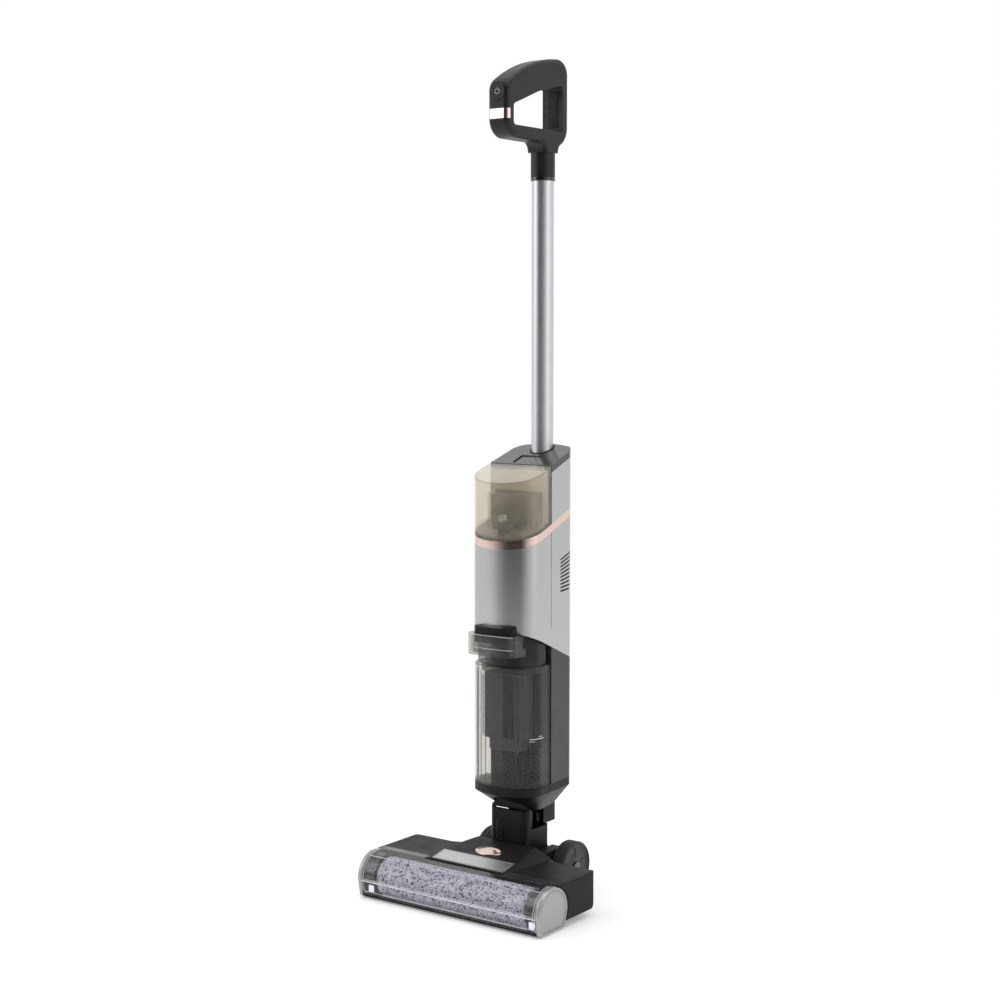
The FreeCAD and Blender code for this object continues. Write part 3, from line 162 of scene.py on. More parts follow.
def brushed_metal(name, color, roughness, stretch, lines=260, line_bump=0.15):
    """Metal with a grain drawn out along one direction."""
    made, tree, shader = new_material(name)
    streaks = noise(tree, lines, 3, stretch)
    tree.links.new(ramp(tree, streaks, shade(color, 0.88), shade(color, 1.1)),
                   shader.inputs["Base Color"])
    shader.inputs["Metallic"].default_value = 1.0
    tree.links.new(spread(tree, streaks, roughness - 0.05, roughness + 0.07),
                   shader.inputs["Roughness"])
    bump(tree, shader, streaks, line_bump, 0.00004)
    return made


def clear_plastic(name, tint, haze_color, haze=0.1, roughness=0.04, gloss=1.0):
    """Clear moulded wall: light passes with a tint, edges reflect more, and a thin haze shows."""
    made, tree, shader = new_material(name)
    out = tree.nodes["Material Output"]
    tree.links.new(ramp(tree, noise(tree, 26, 3), shade(haze_color, 0.8), shade(haze_color, 1.2)),
                   shader.inputs["Base Color"])
    shader.inputs["Roughness"].default_value = 0.35
    through = add(tree, "ShaderNodeBsdfTransparent")
    through.inputs["Color"].default_value = (*tint, 1)
    mirror = add(tree, "ShaderNodeBsdfGlossy")
    mirror.inputs["Color"].default_value = (gloss, gloss, gloss, 1)
    tree.links.new(spread(tree, noise(tree, 40, 3), roughness, roughness + 0.05),
                   mirror.inputs["Roughness"])
    facing = add(tree, "ShaderNodeLayerWeight")
    facing.inputs["Blend"].default_value = 0.5
    steep = add(tree, "ShaderNodeMath", operation="POWER")
    tree.links.new(facing.outputs["Facing"], steep.inputs[0])
    steep.inputs[1].default_value = 4.0
    grazing = add(tree, "ShaderNodeMath", operation="MULTIPLY_ADD")
    tree.links.new(steep.outputs["Value"], grazing.inputs[0])
    grazing.inputs[1].default_value = 0.8
    grazing.inputs[2].default_value = 0.03
    wall = add(tree, "ShaderNodeMixShader")
    tree.links.new(grazing.outputs["Value"], wall.inputs["Fac"])
    tree.links.new(through.outputs["BSDF"], wall.inputs[1])
    tree.links.new(mirror.outputs["BSDF"], wall.inputs[2])
    whole = add(tree, "ShaderNodeMixShader")
    tree.links.new(spread(tree, noise(tree, 60, 4), haze * 0.7, haze * 1.3), whole.inputs["Fac"])
    tree.links.new(wall.outputs["Shader"], whole.inputs[1])
    tree.links.new(shader.outputs["BSDF"], whole.inputs[2])
    tree.links.new(whole.outputs["Shader"], out.inputs["Surface"])
    return made


def rubber(name, color, roughness=0.7):
    made, tree, shader = new_material(name)
    tree.links.new(ramp(tree, noise(tree, 120, 4), shade(color, 0.7), shade(color, 1.35)),
                   shader.inputs["Base Color"])
    tree.links.new(spread(tree, noise(tree, 70, 3), roughness - 0.06, roughness + 0.08),
                   shader.inputs["Roughness"])
    shader.inputs["Sheen Weight"].default_value = 0.15
    bump(tree, shader, noise(tree, 700, 3), 0.25, 0.0001)
    return made


def microfibre(name):
    """Nap whose strands are each tinted by the mesh, with a soft sheen."""
    made, tree, shader = new_material(name)
    tint = add(tree, "ShaderNodeAttribute", attribute_name="strand_tint")
    cloud = ramp(tree, noise(tree, 90, 3), (0.82, 0.80, 0.86), (1.0, 1.0, 1.0))
    tinted = add(tree, "ShaderNodeMix", data_type="RGBA", blend_type="MULTIPLY")
    tinted.inputs["Factor"].default_value = 1.0
    tree.links.new(tint.outputs["Color"], tinted.inputs["A"])
    tree.links.new(cloud, tinted.inputs["B"])
    tree.links.new(tinted.outputs["Result"], shader.inputs["Base Color"])
    shader.inputs["Roughness"].default_value = 0.9
    shader.inputs["Sheen Weight"].default_value = 0.5
    return made


black = plastic("satin_black", (0.006, 0.006, 0.007), 0.42, specular=0.2)
housing_black = plastic("housing_black", (0.012, 0.012, 0.013), 0.45, specular=0.12, edge=0.004)
charcoal = plastic("charcoal_soft", (0.013, 0.013, 0.014), 0.40, grain=1200, grain_bump=0.08,
                   specular=0.28)
gloss_black = plastic("gloss_black", (0.010, 0.010, 0.012), 0.16, grain_bump=0.02, coat=0.5)
inner_black = plastic("inner_black", (0.010, 0.010, 0.011), 0.6, specular=0.25)
lower_grey = plastic("graphite", (0.038, 0.038, 0.041), 0.40, specular=0.35)
cap_grey = metallic_paint("cap_silver", (0.36, 0.375, 0.37), 0.42)
shell_grey = metallic_paint("shell_silver", (0.47, 0.475, 0.475), 0.25)
rose_gold = brushed_metal("rose_gold", (0.80, 0.61, 0.55), 0.16, (1, 1, 14), lines=120,
                          line_bump=0.05)
steel = brushed_metal("bright_steel", (0.62, 0.63, 0.65), 0.25, (18, 1, 1))
dull_steel = brushed_metal("dark_steel", (0.16, 0.16, 0.17), 0.4, (18, 1, 1))
anodised = brushed_metal("anodised_tube", (0.60, 0.61, 0.63), 0.40, (14, 14, 0.6), lines=220)
label_metal = brushed_metal("label_silver", (0.56, 0.58, 0.57), 0.36, (0.5, 16, 1))
clear_cover = clear_plastic("clear_cover", (0.98, 0.98, 0.985), (0.62, 0.62, 0.68), haze=0.02,
                            gloss=0.6)
# Near-white, mostly hazy clear plastic for thin lines: painted highlight, standing in for the light
# that clear ridges, rims and edges catch.
painted_highlight_lines = clear_plastic("painted_highlight_lines", (0.94, 0.94, 0.98), (0.97, 0.96, 1.0), haze=0.8,
                           roughness=0.05)
smoke = clear_plastic("smoky_tank", (0.90, 0.895, 0.88), (0.13, 0.125, 0.12), haze=0.03, gloss=0.5)
smoke_lid = clear_plastic("smoky_lid", (0.66, 0.655, 0.64), (0.05, 0.05, 0.049), haze=0.22,
                          gloss=0.5)
smoke_light = clear_plastic("smoky_collar", (0.80, 0.79, 0.78), (0.24, 0.24, 0.24), haze=0.11,
                            gloss=0.7)
amber = clear_plastic("champagne_tank", (0.935, 0.915, 0.87), (0.80, 0.75, 0.64), haze=0.11)
separator_grey = plastic("separator_grey", (0.040, 0.038, 0.046), 0.40, grain_bump=0.05)
liner_beige = plastic("liner_beige", (0.60, 0.55, 0.44), 0.5, specular=0.2)
mark_white = plastic("mark_white", (0.72, 0.72, 0.72), 0.5)
tyre_rubber = rubber("tyre_rubber", (0.014, 0.014, 0.0145))
hose_rubber = rubber("hose_rubber", (0.018, 0.018, 0.019), 0.5)
core_plastic = plastic("core_plastic", (0.10, 0.10, 0.11), 0.5)
cell_wrap = plastic("cell_wrap", (0.05, 0.16, 0.36), 0.3)
board_green = plastic("board_green", (0.02, 0.13, 0.06), 0.35)
nap = microfibre("microfibre_nap")


def lamp_glow(name):
    """Frosted lamp window with a fine prism pattern, lit from behind."""
    made, tree, shader = new_material(name)
    cells = add(tree, "ShaderNodeTexVoronoi")
    cells.inputs["Scale"].default_value = 700
    tree.links.new(object_point(tree), cells.inputs["Vector"])
    glow = ramp(tree, cells.outputs["Distance"], (0.98, 0.98, 1.0), (0.62, 0.64, 0.86), 0.1, 0.75)
    tree.links.new(glow, shader.inputs["Base Color"])
    shader.inputs["Roughness"].default_value = 0.2
    shader.inputs["Emission Color"].default_value = (0.9, 0.92, 1.0, 1)
    shader.inputs["Emission Strength"].default_value = 0.55
    return made


lamp_lens = lamp_glow("lamp_lens")

node_looks = {
    housing_black: ["nozzle_housing"],
    black: ["base_plate", "lamp_housings", "neck_yoke", "neck_button", "swivel_collar",
            "tank_tray", "tank_latch_button"],
    lower_grey: ["lower_rear_shell"],
    charcoal: ["handle_grip", "handle_front_cover", "power_button"],
    gloss_black: ["top_cap", "clean_tank_latch"],
    inner_black: ["chassis", "tank_bay_deck", "tank_ceiling", "battery_case", "impeller",
                  "water_pump", "tank_valve", "roller_bearings", "inlet_tube"],
    shell_grey: ["front_shell", "rear_shell"],
    rose_gold: ["accent_band", "handle_band"],
    steel: ["brush_release_spring", "brush_motor", "suction_motor"],
    dull_steel: ["wheel_axles", "recline_pins", "steer_pins", "base_screws"],
    anodised: ["handle_tube"],
    label_metal: ["label_plate"],
    clear_cover: ["brush_cover"],
    smoke: ["dirty_tank"],
    smoke_lid: ["tank_lid"],
    smoke_light: ["tank_collar"],
    amber: ["clean_tank"],
    separator_grey: ["separator"],
    tyre_rubber: ["drive_belt", "squeegee", "grip_pad"],
    core_plastic: ["roller_core", "brush_pulley", "motor_pulley"],
    cell_wrap: ["battery_cells"],
    board_green: ["circuit_board"],
    lamp_lens: ["lamp_lenses"],
}
for look, names in node_looks.items():
    for node_name in names:
        mesh = nodes[node_name].data
        mesh.materials.clear()
        mesh.materials.append(look)


# ================================================================ shapes, in millimetres
def join(shapes):
    """One shape, as a list of points and a list of faces, from several."""
    verts, faces = [], []
    for more_verts, more_faces in shapes:
        start = len(verts)
        verts += more_verts
        faces += [tuple(i + start for i in face) for face in more_faces]
    return verts, faces


def loft(loops, around=False):
    """Skin over loops of equal length, closed at both ends, or from the last loop to the first."""
    count = len(loops[0])
    verts = [tuple(v) for loop in loops for v in loop]
    faces = []
    for k in range(len(loops) - 1 + around):
        a, b = k * count, (k + 1) % len(loops) * count
        for i in range(count):
            j = (i + 1) % count
            faces.append((a + i, a + j, b + j, b + i))
    if not around:
        faces.append(tuple(range(count)))
        faces.append(tuple(range((len(loops) - 1) * count, len(loops) * count)))
    return verts, faces


def wire(points, radius, sides=8, closed=False):
    """Round bar along points; radius is a number or one for each point."""
    points = [Vector(p) for p in points]
    loops, side = [], None
    for k, point in enumerate(points):
        before = points[k - 1] if closed or k else point
        after = points[(k + 1) % len(points)] if closed or k < len(points) - 1 else point
        along = (after - before).normalized()
        if side is None:
            side = along.cross(Vector((0.31, 0.52, 0.79)))
        side = (side - along * side.dot(along)).normalized()
        up = along.cross(side)
        r = radius[k] if isinstance(radius, list) else radius
        turns = [2 * math.pi * i / sides for i in range(sides)]
        loops.append([point + (side * math.cos(t) + up * math.sin(t)) * r for t in turns])
    return loft(loops, closed)


def turned(profile, center, axis="x", sides=72, around=False):
    """Solid of revolution from pairs of (place along the axis, radius)."""
    loops = []
    for along, radius in profile:
        loop = []
        for i in range(sides):
            turn = 2 * math.pi * i / sides
            c, s = radius * math.cos(turn), radius * math.sin(turn)
            offset = {"x": (along, c, s), "y": (c, along, s), "z": (c, s, along)}[axis]
            loop.append(Vector(center) + Vector(offset))
        loops.append(loop)
    return loft(loops, around)


def arc(center, radius, start, end, count, x):
    """Points on an arc in the Y-Z plane; 0 degrees points forward (-Y) and 90 up."""
    points = []
    for i in range(count + 1):
        turn = math.radians(start + (end - start) * i / count)
        points.append((x, center[0] - radius * math.cos(turn), center[1] + radius * math.sin(turn)))
    return points


def rounded_loop(half_x, half_z, radius, count=5):
    """Points round a rectangle with round corners, as pairs."""
    points = []
    for k, (sx, sz) in enumerate(((1, 1), (-1, 1), (-1, -1), (1, -1))):
        for i in range(count + 1):
            turn = math.radians(90 * k + 90 * i / count)
            points.append((sx * (half_x - radius) + radius * math.cos(turn),
                           sz * (half_z - radius) + radius * math.sin(turn)))
    return points


def piece(name, shape, look, body, smooth=35):
    """Mesh from millimetres that rides on a CAD body."""
    mesh = bpy.data.meshes.new(name)
    mesh.from_pydata([tuple(c * mm for c in v) for v in shape[0]], [], shape[1])
    work = bmesh.new()
    work.from_mesh(mesh)
    bmesh.ops.recalc_face_normals(work, faces=work.faces)
    work.to_mesh(mesh)
    work.free()
    mesh.materials.append(look)
    mesh.polygons.foreach_set("use_smooth", [True] * len(mesh.polygons))
    mesh.set_sharp_from_angle(angle=math.radians(smooth))
    made = bpy.data.objects.new(name, mesh)
    bpy.context.scene.collection.objects.link(made)
    if body:
        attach(made, body)
    return made


def surface(node_name):
    """Search tree of a CAD node, in millimetres."""
    node = nodes[node_name]
    verts = [node.matrix_world @ v.co / mm for v in node.data.vertices]
    return BVHTree.FromPolygons(verts, [tuple(p.vertices) for p in node.data.polygons])


def meet(tree, start, direction, lift=0.0):
    """Where a ray meets a surface, moved back along the ray by lift."""
    way = Vector(direction).normalized()
    place = tree.ray_cast(Vector(start), way)[0]
    return place - way * lift if place else None


def trace(tree, starts, direction, lift, radius, sides=6):
    """Fine bar laid over a surface where rays from starts meet it."""
    points = [p for p in (meet(tree, start, direction, lift) for start in starts) if p]
    return wire(points, radius, sides) if len(points) > 1 else ([], [])


def mirror_x(shape):
    return [(-x, y, z) for x, y, z in shape[0]], shape[1]


def both(shape):
    return join([shape, mirror_x(shape)])


def steps(low, high, count):
    """Evenly spaced numbers from low to high, both included."""
    return [low + (high - low) * i / (count - 1) for i in range(count)]


# ================================================================ brushroll
roller_low, roller_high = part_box("roller_nap")
axis_y = (roller_low[1] + roller_high[1]) / 2 / mm
axis_z = (roller_low[2] + roller_high[2]) / 2 / mm
nap_radius = (roller_high[2] - roller_low[2]) / 2 / mm
nap_end = roller_high[0] / mm
roller_center = (axis_y, axis_z)


def nap_strands():
    """Microfibre nap: thousands of small leaning tufts, lavender white with dark flecks."""
    rng = random.Random(11)
    sleeve_out, sleeve_in = nap_radius - 3.4, nap_radius - 8
    sleeve = turned([(-nap_end, sleeve_in), (-nap_end, sleeve_out), (nap_end, sleeve_out),
                     (nap_end, sleeve_in)], (0, axis_y, axis_z), sides=96)
    verts, faces = list(sleeve[0]), list(sleeve[1])
    tints = [(0.50, 0.48, 0.56, 1)] * len(verts)
    rows, per_row = 132, 92
    margin, limit = 1.3, nap_end - 1.2
    span = 2 * nap_end - 2 * margin
    fleck_along, fleck_round, fleck_level = 0.34, 9, 0.24
    for row in range(rows):
        for step in range(per_row):
            x = -nap_end + margin + span * (row + rng.uniform(-0.4, 0.4)) / (rows - 1)
            x = max(-limit, min(limit, x))
            turn = 2 * math.pi * (step + row * 0.37 + rng.uniform(-0.4, 0.4)) / per_row
            out = Vector((0, math.cos(turn), math.sin(turn)))
            side = Vector((0, -math.sin(turn), math.cos(turn)))
            along = Vector((1, 0, 0))
            center = Vector((x, axis_y, axis_z))
            lean_x, lean_side = rng.uniform(-0.8, 0.8), rng.uniform(0.0, 1.0)
            tip = nap_radius - rng.uniform(0.1, 0.9)
            spots = ((nap_radius - 3.6, 1.05, 0.0), (nap_radius - 1.7, 1.15, 0.45))
            start = len(verts)
            for reach, width, share in spots:
                middle = center + out * reach + along * lean_x * share + side * lean_side * share
                for i in range(3):
                    spin = 2 * math.pi * i / 3 + row
                    verts.append(middle + (along * math.cos(spin) + side * math.sin(spin)) * width)
            verts.append(center + out * (tip - 0.25) + along * lean_x + side * lean_side)
            for i in range(3):
                j = (i + 1) % 3
                faces.append((start + i, start + j, start + 3 + j, start + 3 + i))
                faces.append((start + 3 + i, start + 3 + j, start + 6))
            spot = Vector((x * fleck_along, math.cos(turn) * fleck_round,
                           math.sin(turn) * fleck_round))
            pale = rng.uniform(0.0, 1.0)
            if mathutils.noise.noise(spot) > fleck_level:
                tint = (0.16 + 0.10 * pale, 0.12 + 0.09 * pale, 0.21 + 0.12 * pale, 1)
            else:
                tint = (0.86 + 0.12 * pale, 0.82 + 0.14 * pale, 0.92 + 0.08 * pale, 1)
            tints += [tint] * 7
    made = piece("nap_tufts", (verts, faces), nap, "roller", smooth=80)
    colors = made.data.color_attributes.new("strand_tint", "FLOAT_COLOR", "POINT")
    colors.data.foreach_set("color", [c for tint in tints for c in tint])
    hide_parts("roller_nap")


nap_strands()
ring_bore = 17.2
ring_profile = [(nap_end + 0.05, ring_bore), (nap_end + 0.05, nap_radius - 2.2),
                (nap_end + 0.5, nap_radius - 1.8), (nap_end + 0.9, nap_radius - 2.4),
                (nap_end + 0.9, ring_bore)]
end_ring = turned(ring_profile, (0, axis_y, axis_z), around=True)
piece("roller_end_rings", both(end_ring), core_plastic, "roller")

# ---------------------------------------------------------------- clear cover
cover_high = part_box("brush_cover")[1]
cover_end = cover_high[0] / mm
cover_lip = 1.2  # top of the cover above the arc of its shell
cover_radius = cover_high[2] / mm - cover_lip - axis_z
lines = []
# Bright lines along the cover, partly its real ridge bead and partly painted highlight: degrees
# above the roller's axis, and radius.
for rise, thick in ((-4.0, 1.0), (1.0, 0.35), (-34, 0.5), (62, 0.4)):
    turn = math.radians(rise)
    y = axis_y - (cover_radius + 0.1 - thick) * math.cos(turn)
    z = axis_z + (cover_radius + 0.1 - thick) * math.sin(turn)
    lines.append(wire([(x, y, z) for x in steps(-cover_end + 1, cover_end - 1, 3)], thick, 8))
# Arcs round each end of the cover, on its clear rim, drawn bright as painted highlight.
for x in (cover_end - 0.8, cover_end - 3.6):
    ring = wire(arc(roller_center, cover_radius - 0.15, -40, 94, 30, x), 0.36, 6)
    lines.append(both(ring))
piece("cover_bead_and_painted_highlights", join(lines), painted_highlight_lines, "cover")


def cover_band(x0, x1):
    """Tinted band inside the clear cover, between the nap's end and the end cap."""
    loops = []
    for radius, x in ((cover_radius - 2.5, x0), (cover_radius - 2.5, x1),
                      (cover_radius - 2.9, x1), (cover_radius - 2.9, x0)):
        loops.append(arc(roller_center, radius, 2, 88, 28, x))
    return loft(list(zip(*loops)))


piece("cover_end_bands", both(cover_band(nap_end + 1.6, cover_end - 1.6)), smoke_light, "cover")


# ---------------------------------------------------------------- end caps
def hull(points):
    """Corners of the convex outline round points in a plane."""
    def half(run):
        chain = []
        for p in run:
            while len(chain) > 1 and ((chain[-1][0] - chain[-2][0]) * (p[1] - chain[-2][1])
                                      - (chain[-1][1] - chain[-2][1]) * (p[0] - chain[-2][0])) <= 0:
                chain.pop()
            chain.append(p)
        return chain[:-1]
    ordered = sorted(set(points))
    return half(ordered) + half(ordered[::-1])


def resample(corners, count):
    """Evenly spaced points along a closed outline."""
    lengths = [math.dist(corners[k], corners[(k + 1) % len(corners)]) for k in range(len(corners))]
    total, points, k, used = sum(lengths), [], 0, 0.0
    for i in range(count):
        want = total * i / count
        while used + lengths[k] < want:
            used += lengths[k]
            k += 1
        share = (want - used) / lengths[k]
        a, b = corners[k], corners[(k + 1) % len(corners)]
        points.append((a[0] + (b[0] - a[0]) * share, a[1] + (b[1] - a[1]) * share))
    return points


def end_cap(node_name, side):
    """Cap with a rounded rim, a ring groove and a slightly sunk field."""
    node = nodes[node_name]
    places = [node.matrix_world @ v.co / mm for v in node.data.vertices]
    rim = resample(hull([(round(p.y, 2), round(p.z, 2)) for p in places]), 120)
    middle_y = sum(p[0] for p in rim) / len(rim)
    middle_z = sum(p[1] for p in rim) / len(rim)
    inner = min(abs(p.x) for p in places)
    outer = max(abs(p.x) for p in places)
    # Share of the cap's outline, and distance from the middle of the object.
    levels = [(1.0, inner), (1.0, outer - 1.4), (0.985, outer - 0.4), (0.955, outer), (0.90, outer),
              (0.885, outer - 0.9), (0.85, outer - 0.9), (0.835, outer - 0.2), (0.80, outer - 0.2),
              (0.79, outer - 0.6), (0.45, outer - 0.5), (0.10, outer - 0.5)]
    loops = []
    for share, x in levels:
        loops.append([(side * x, middle_y + (y - middle_y) * share,
                       middle_z + (z - middle_z) * share) for y, z in rim])
    made = piece(node_name + "_plate", loft(loops), cap_grey, "nozzle", smooth=25)
    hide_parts(node_name)


end_cap("end_cap_right", 1)
end_cap("end_cap_left", -1)

# ---------------------------------------------------------------- nozzle trim
lens_low, lens_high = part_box("lamp_lenses")
lens_z = (lens_low[2] + lens_high[2]) / 2 / mm
lens_half = (lens_high[2] - lens_low[2]) / 2 / mm
lens_x = lens_high[0] / mm - lens_half
frame_line = [(lens_x + x, lens_low[1] / mm + 0.3, lens_z + z)
              for x, z in rounded_loop(lens_half + 0.7, lens_half + 0.7, 1.2)]
piece("lamp_frames", both(wire(frame_line, 0.55, 8, True)), gloss_black, "nozzle")

plate_low, plate_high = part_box("label_plate")
plate = surface("label_plate")
middle_y = (plate_low[1] + plate_high[1]) / 2 / mm
half_y = (plate_high[1] - plate_low[1]) / 2 / mm
border = []
for x, y in rounded_loop(plate_high[0] / mm - 1.6, half_y - 1.6, 1.5):
    spot = meet(plate, (x, middle_y + y, 100), (0, 0, -1))
    if spot:
        border.append(spot)
piece("label_border", wire(border, 0.28, 6, True), cap_grey, "nozzle")

button_low, button_high = [[c / mm for c in corner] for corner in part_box("brush_release_button")]
button = surface("brush_release_button")
button_y = (button_low[1] + button_high[1]) / 2
button_z = meet(button, (0, button_y, 100), (0, 0, -1)).z
button_rise = (meet(button, (0, button_y + 8, 100), (0, 0, -1)).z - button_z) / 8


def release_button():
    """Oval button with a rounded rim and a slightly sunk field, on the slope of the hump."""
    half_x, half_y = 19.8, 12.3
    # Share of the oval, and height from the slope.
    levels = [(0.985, -2.6), (0.985, -0.5), (0.965, -0.1), (0.93, 0.0), (0.88, 0.0),
              (0.855, -0.35), (0.5, -0.2), (0.05, -0.1)]
    loops = []
    for share, lift in levels:
        loop = []
        for i in range(80):
            turn = 2 * math.pi * i / 80
            x, y = half_x * share * math.cos(turn), half_y * share * math.sin(turn)
            loop.append((x, button_y + y, button_z + lift + button_rise * y))
        loops.append(loop)
    made = piece("release_button_oval", loft(loops), rose_gold, "brush_button",
                 smooth=50)
    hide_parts("brush_release_button")


release_button()

# Caps on the ends of the recline hinge.
hinge_y, hinge_z = 39.5, 45.0
cap_profile = [(50.1, 7.4), (50.6, 7.4), (51.0, 6.9), (51.0, 5.2), (50.7, 4.9), (50.7, 1.0)]
piece("hinge_caps", both(turned(cap_profile, (0, hinge_y, hinge_z), sides=40)), black, "nozzle")

# ---------------------------------------------------------------- wheels
for side, end in ((1, "right"), (-1, "left")):
    tyre_low, tyre_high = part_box("tyre_" + end)
    wheel_y = (tyre_low[1] + tyre_high[1]) / 2 / mm
    wheel_z = (tyre_low[2] + tyre_high[2]) / 2 / mm
    radius = (tyre_high[2] - tyre_low[2]) / 2 / mm
    near, far = sorted((abs(tyre_low[0] / mm), abs(tyre_high[0] / mm)))
    bore = radius - 3.9
    tread = [(near, bore), (near, radius - 2.2), (near + 0.8, radius - 0.8), (near + 2.2, radius)]
    for groove in (near + 6.2, far - 6.8):
        tread += [(groove - 0.7, radius), (groove - 0.4, radius - 0.9),
                  (groove + 0.4, radius - 0.9), (groove + 0.7, radius)]
    tread += [(far - 2.2, radius), (far - 0.8, radius - 0.8), (far, radius - 2.2), (far, bore)]
    place = (0, wheel_y, wheel_z)
    tyre_shape = turned([(side * x, r) for x, r in tread], place, sides=96, around=True)
    tyre = piece("tread_" + end, tyre_shape, tyre_rubber, "wheel_" + end, smooth=50)
    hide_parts("tyre_" + end)
    disc = [(near, 4.2), (near, bore - 0.2), (far - 1.2, bore - 0.2), (far - 1.0, bore - 1.0),
            (far - 1.0, bore - 2.6), (far - 2.6, bore - 4.4), (far - 2.8, 13.5), (far - 1.8, 11.6),
            (far - 1.4, 8.6), (far - 2.0, 7.9), (far - 2.0, 4.2)]
    parts = [turned([(side * x, r) for x, r in disc], place, around=True)]
    spoke_count, spoke_ends, spoke_x = 5, (14, 24.5), side * (far - 2.7)
    for k in range(spoke_count):
        turn = 2 * math.pi * k / spoke_count + 0.3
        run = [(spoke_x, wheel_y + r * math.cos(turn), wheel_z + r * math.sin(turn))
               for r in spoke_ends]
        parts.append(wire(run, [1.5, 1.0], 10))
    hub = piece("hub_disc_" + end, join(parts), lower_grey, "wheel_" + end)
    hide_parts("wheel_hub_" + end)

# ---------------------------------------------------------------- neck
pill_low, pill_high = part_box("neck_button")
pill_x = (pill_low[0] + pill_high[0]) / 2 / mm
pill_z = (pill_low[2] + pill_high[2]) / 2 / mm
pill_y = pill_low[1] / mm
ring_half_x, ring_half_z, ring_corner = 4.75, 14.05, 4.7
ring = [(pill_x + x, pill_y + 0.6, pill_z + z)
        for x, z in rounded_loop(ring_half_x, ring_half_z, ring_corner, 8)]
ribs = [wire([(pill_x - 2.4, pill_y + 0.1, z), (pill_x + 2.4, pill_y + 0.1, z)], 0.4, 8)
        for z in steps(pill_z - 5, pill_z + 5, 5)]
piece("neck_button_ring", wire(ring, 0.4, 8, True), gloss_black, "neck")
piece("neck_button_ribs", join(ribs), black, "neck_release")

hose_low, hose_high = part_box("suction_hose")
hose_r = hose_high[0] / mm
hose_z = hose_low[2] / mm + hose_r
hose_y = hose_high[1] / mm - hose_r
bend = hose_y - hose_low[1] / mm - 1
path = [(0, hose_low[1] / mm, hose_z), (0, hose_low[1] / mm + 1, hose_z)]
bend_steps, rise_steps = 96, 64
for i in range(1, bend_steps + 1):
    turn = math.pi / 2 * i / bend_steps
    path.append((0, hose_y - bend + bend * math.sin(turn), hose_z + bend - bend * math.cos(turn)))
for i in range(1, rise_steps + 1):
    path.append((0, hose_y, hose_z + bend + (hose_high[2] / mm - hose_z - bend) * i / rise_steps))
rib_pitch, rib_depth = 4.2, 0.5
swell, walked = [], 0.0
for k, spot in enumerate(path):
    walked += math.dist(spot, path[k - 1]) if k else 0.0
    swell.append(hose_r - 0.55 + rib_depth * math.cos(2 * math.pi * walked / rib_pitch))
hose = piece("corrugated_hose", wire(path, swell, 40), hose_rubber, None, smooth=80)
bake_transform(hose)
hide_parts("suction_hose")

# ================================================================ upright body
front_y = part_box("front_shell")[0][1] / mm
half_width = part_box("front_shell")[1][0] / mm
seam_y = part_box("rear_shell")[0][1] / mm


def outline(inset=0.0, back=None, count=24):
    """Plan of the body from its left seam round the front to the right seam."""
    back = seam_y if back is None else back
    nose, corner, taper = 80.0, 30.0, 0.07
    run = half_width - corner
    nose_y = front_y + nose
    corner_y = nose_y - math.sqrt((nose - corner) ** 2 - run ** 2)
    lean = math.atan2(run, nose_y - corner_y)
    right = []
    for i in range(count + 1):
        turn = lean * i / count
        right.append(((nose - inset) * math.sin(turn), nose_y - (nose - inset) * math.cos(turn)))
    for i in range(1, count + 1):
        turn = lean + (math.pi / 2 - lean) * i / count
        right.append((run + (corner - inset) * math.sin(turn),
                      corner_y - (corner - inset) * math.cos(turn)))
    right.append((half_width - inset - taper * (back - corner_y), back))
    return [(-x, y) for x, y in right[:0:-1]] + right


def strip(inset, height, radius, back=None, sides=6):
    """Fine bar round the body at a height given by how far back it is."""
    return wire([(x, y, height(y)) for x, y in outline(inset, back)], radius, sides)


slant = 0.36  # rise of the clean tank's edges toward the back
band_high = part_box("clean_tank")[0][2] / mm - 0.3
tank_low, tank_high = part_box("dirty_tank")
tank_z0, tank_z1 = tank_low[2] / mm, tank_high[2] / mm
tank_back, clean_back = 33, 36  # where bars round the tanks end

# ---------------------------------------------------------------- dirty water tank
ribs = []
for x, y in outline(3.2)[::7]:
    if abs(x) > 12 and y < 30:
        ribs.append(wire([(x, y, tank_z0 + 5), (x, y, tank_z1 - 12)], 0.55, 6))
piece("dirty_tank_ribs", join(ribs), smoke_lid, "waste_tank")
piece("dirty_tank_rim", join([strip(1.1, lambda y: tank_z0 + 1.4, 0.7, tank_back),
                              strip(1.6, lambda y: tank_z1 - 3.0, 0.6, tank_back)]),
      smoke_lid, "waste_tank")
marks = []
tank_side = surface("dirty_tank")
# Height, the two ends from front to back, and radius of each mark.
for z, y0, y1, thick in ((213, -2.5, 20, 0.55), (210, -2.5, 4, 0.4), (216, 10, 16, 0.4)):
    starts = [(200, y, z) for y in steps(y0, y1, 12)]
    marks.append(trace(tank_side, starts, (-1, 0, 0), 0.02, thick))
piece("level_marks", join(marks), mark_white, "waste_tank")

sep_low, sep_high = [[c / mm for c in corner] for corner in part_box("separator")]
track_low = sep_low[2] + 18
fins = []
for z in steps(sep_low[2] + 24, sep_high[2] - 8, 8):
    fins.append(wire([(x, sep_low[1] - 0.3, z) for x in (sep_low[0] + 3, 6)], 0.6, 8))
for x in (sep_low[0] + 1.6, sep_high[0] - 1.6):
    fins.append(wire([(x, sep_low[1] - 0.1, track_low), (x, sep_low[1] - 0.1, sep_high[2] - 3)],
                     0.7, 8))
piece("separator_fins", join(fins), separator_grey, "waste_tank")
dark = [wire([(x, sep_low[1] - 0.2, track_low), (x, sep_low[1] - 0.2, sep_high[2] - 2)], 1.0, 8)
        for x in steps(5, 20, 11)]
piece("separator_float_track", join(dark), inner_black, "waste_tank")

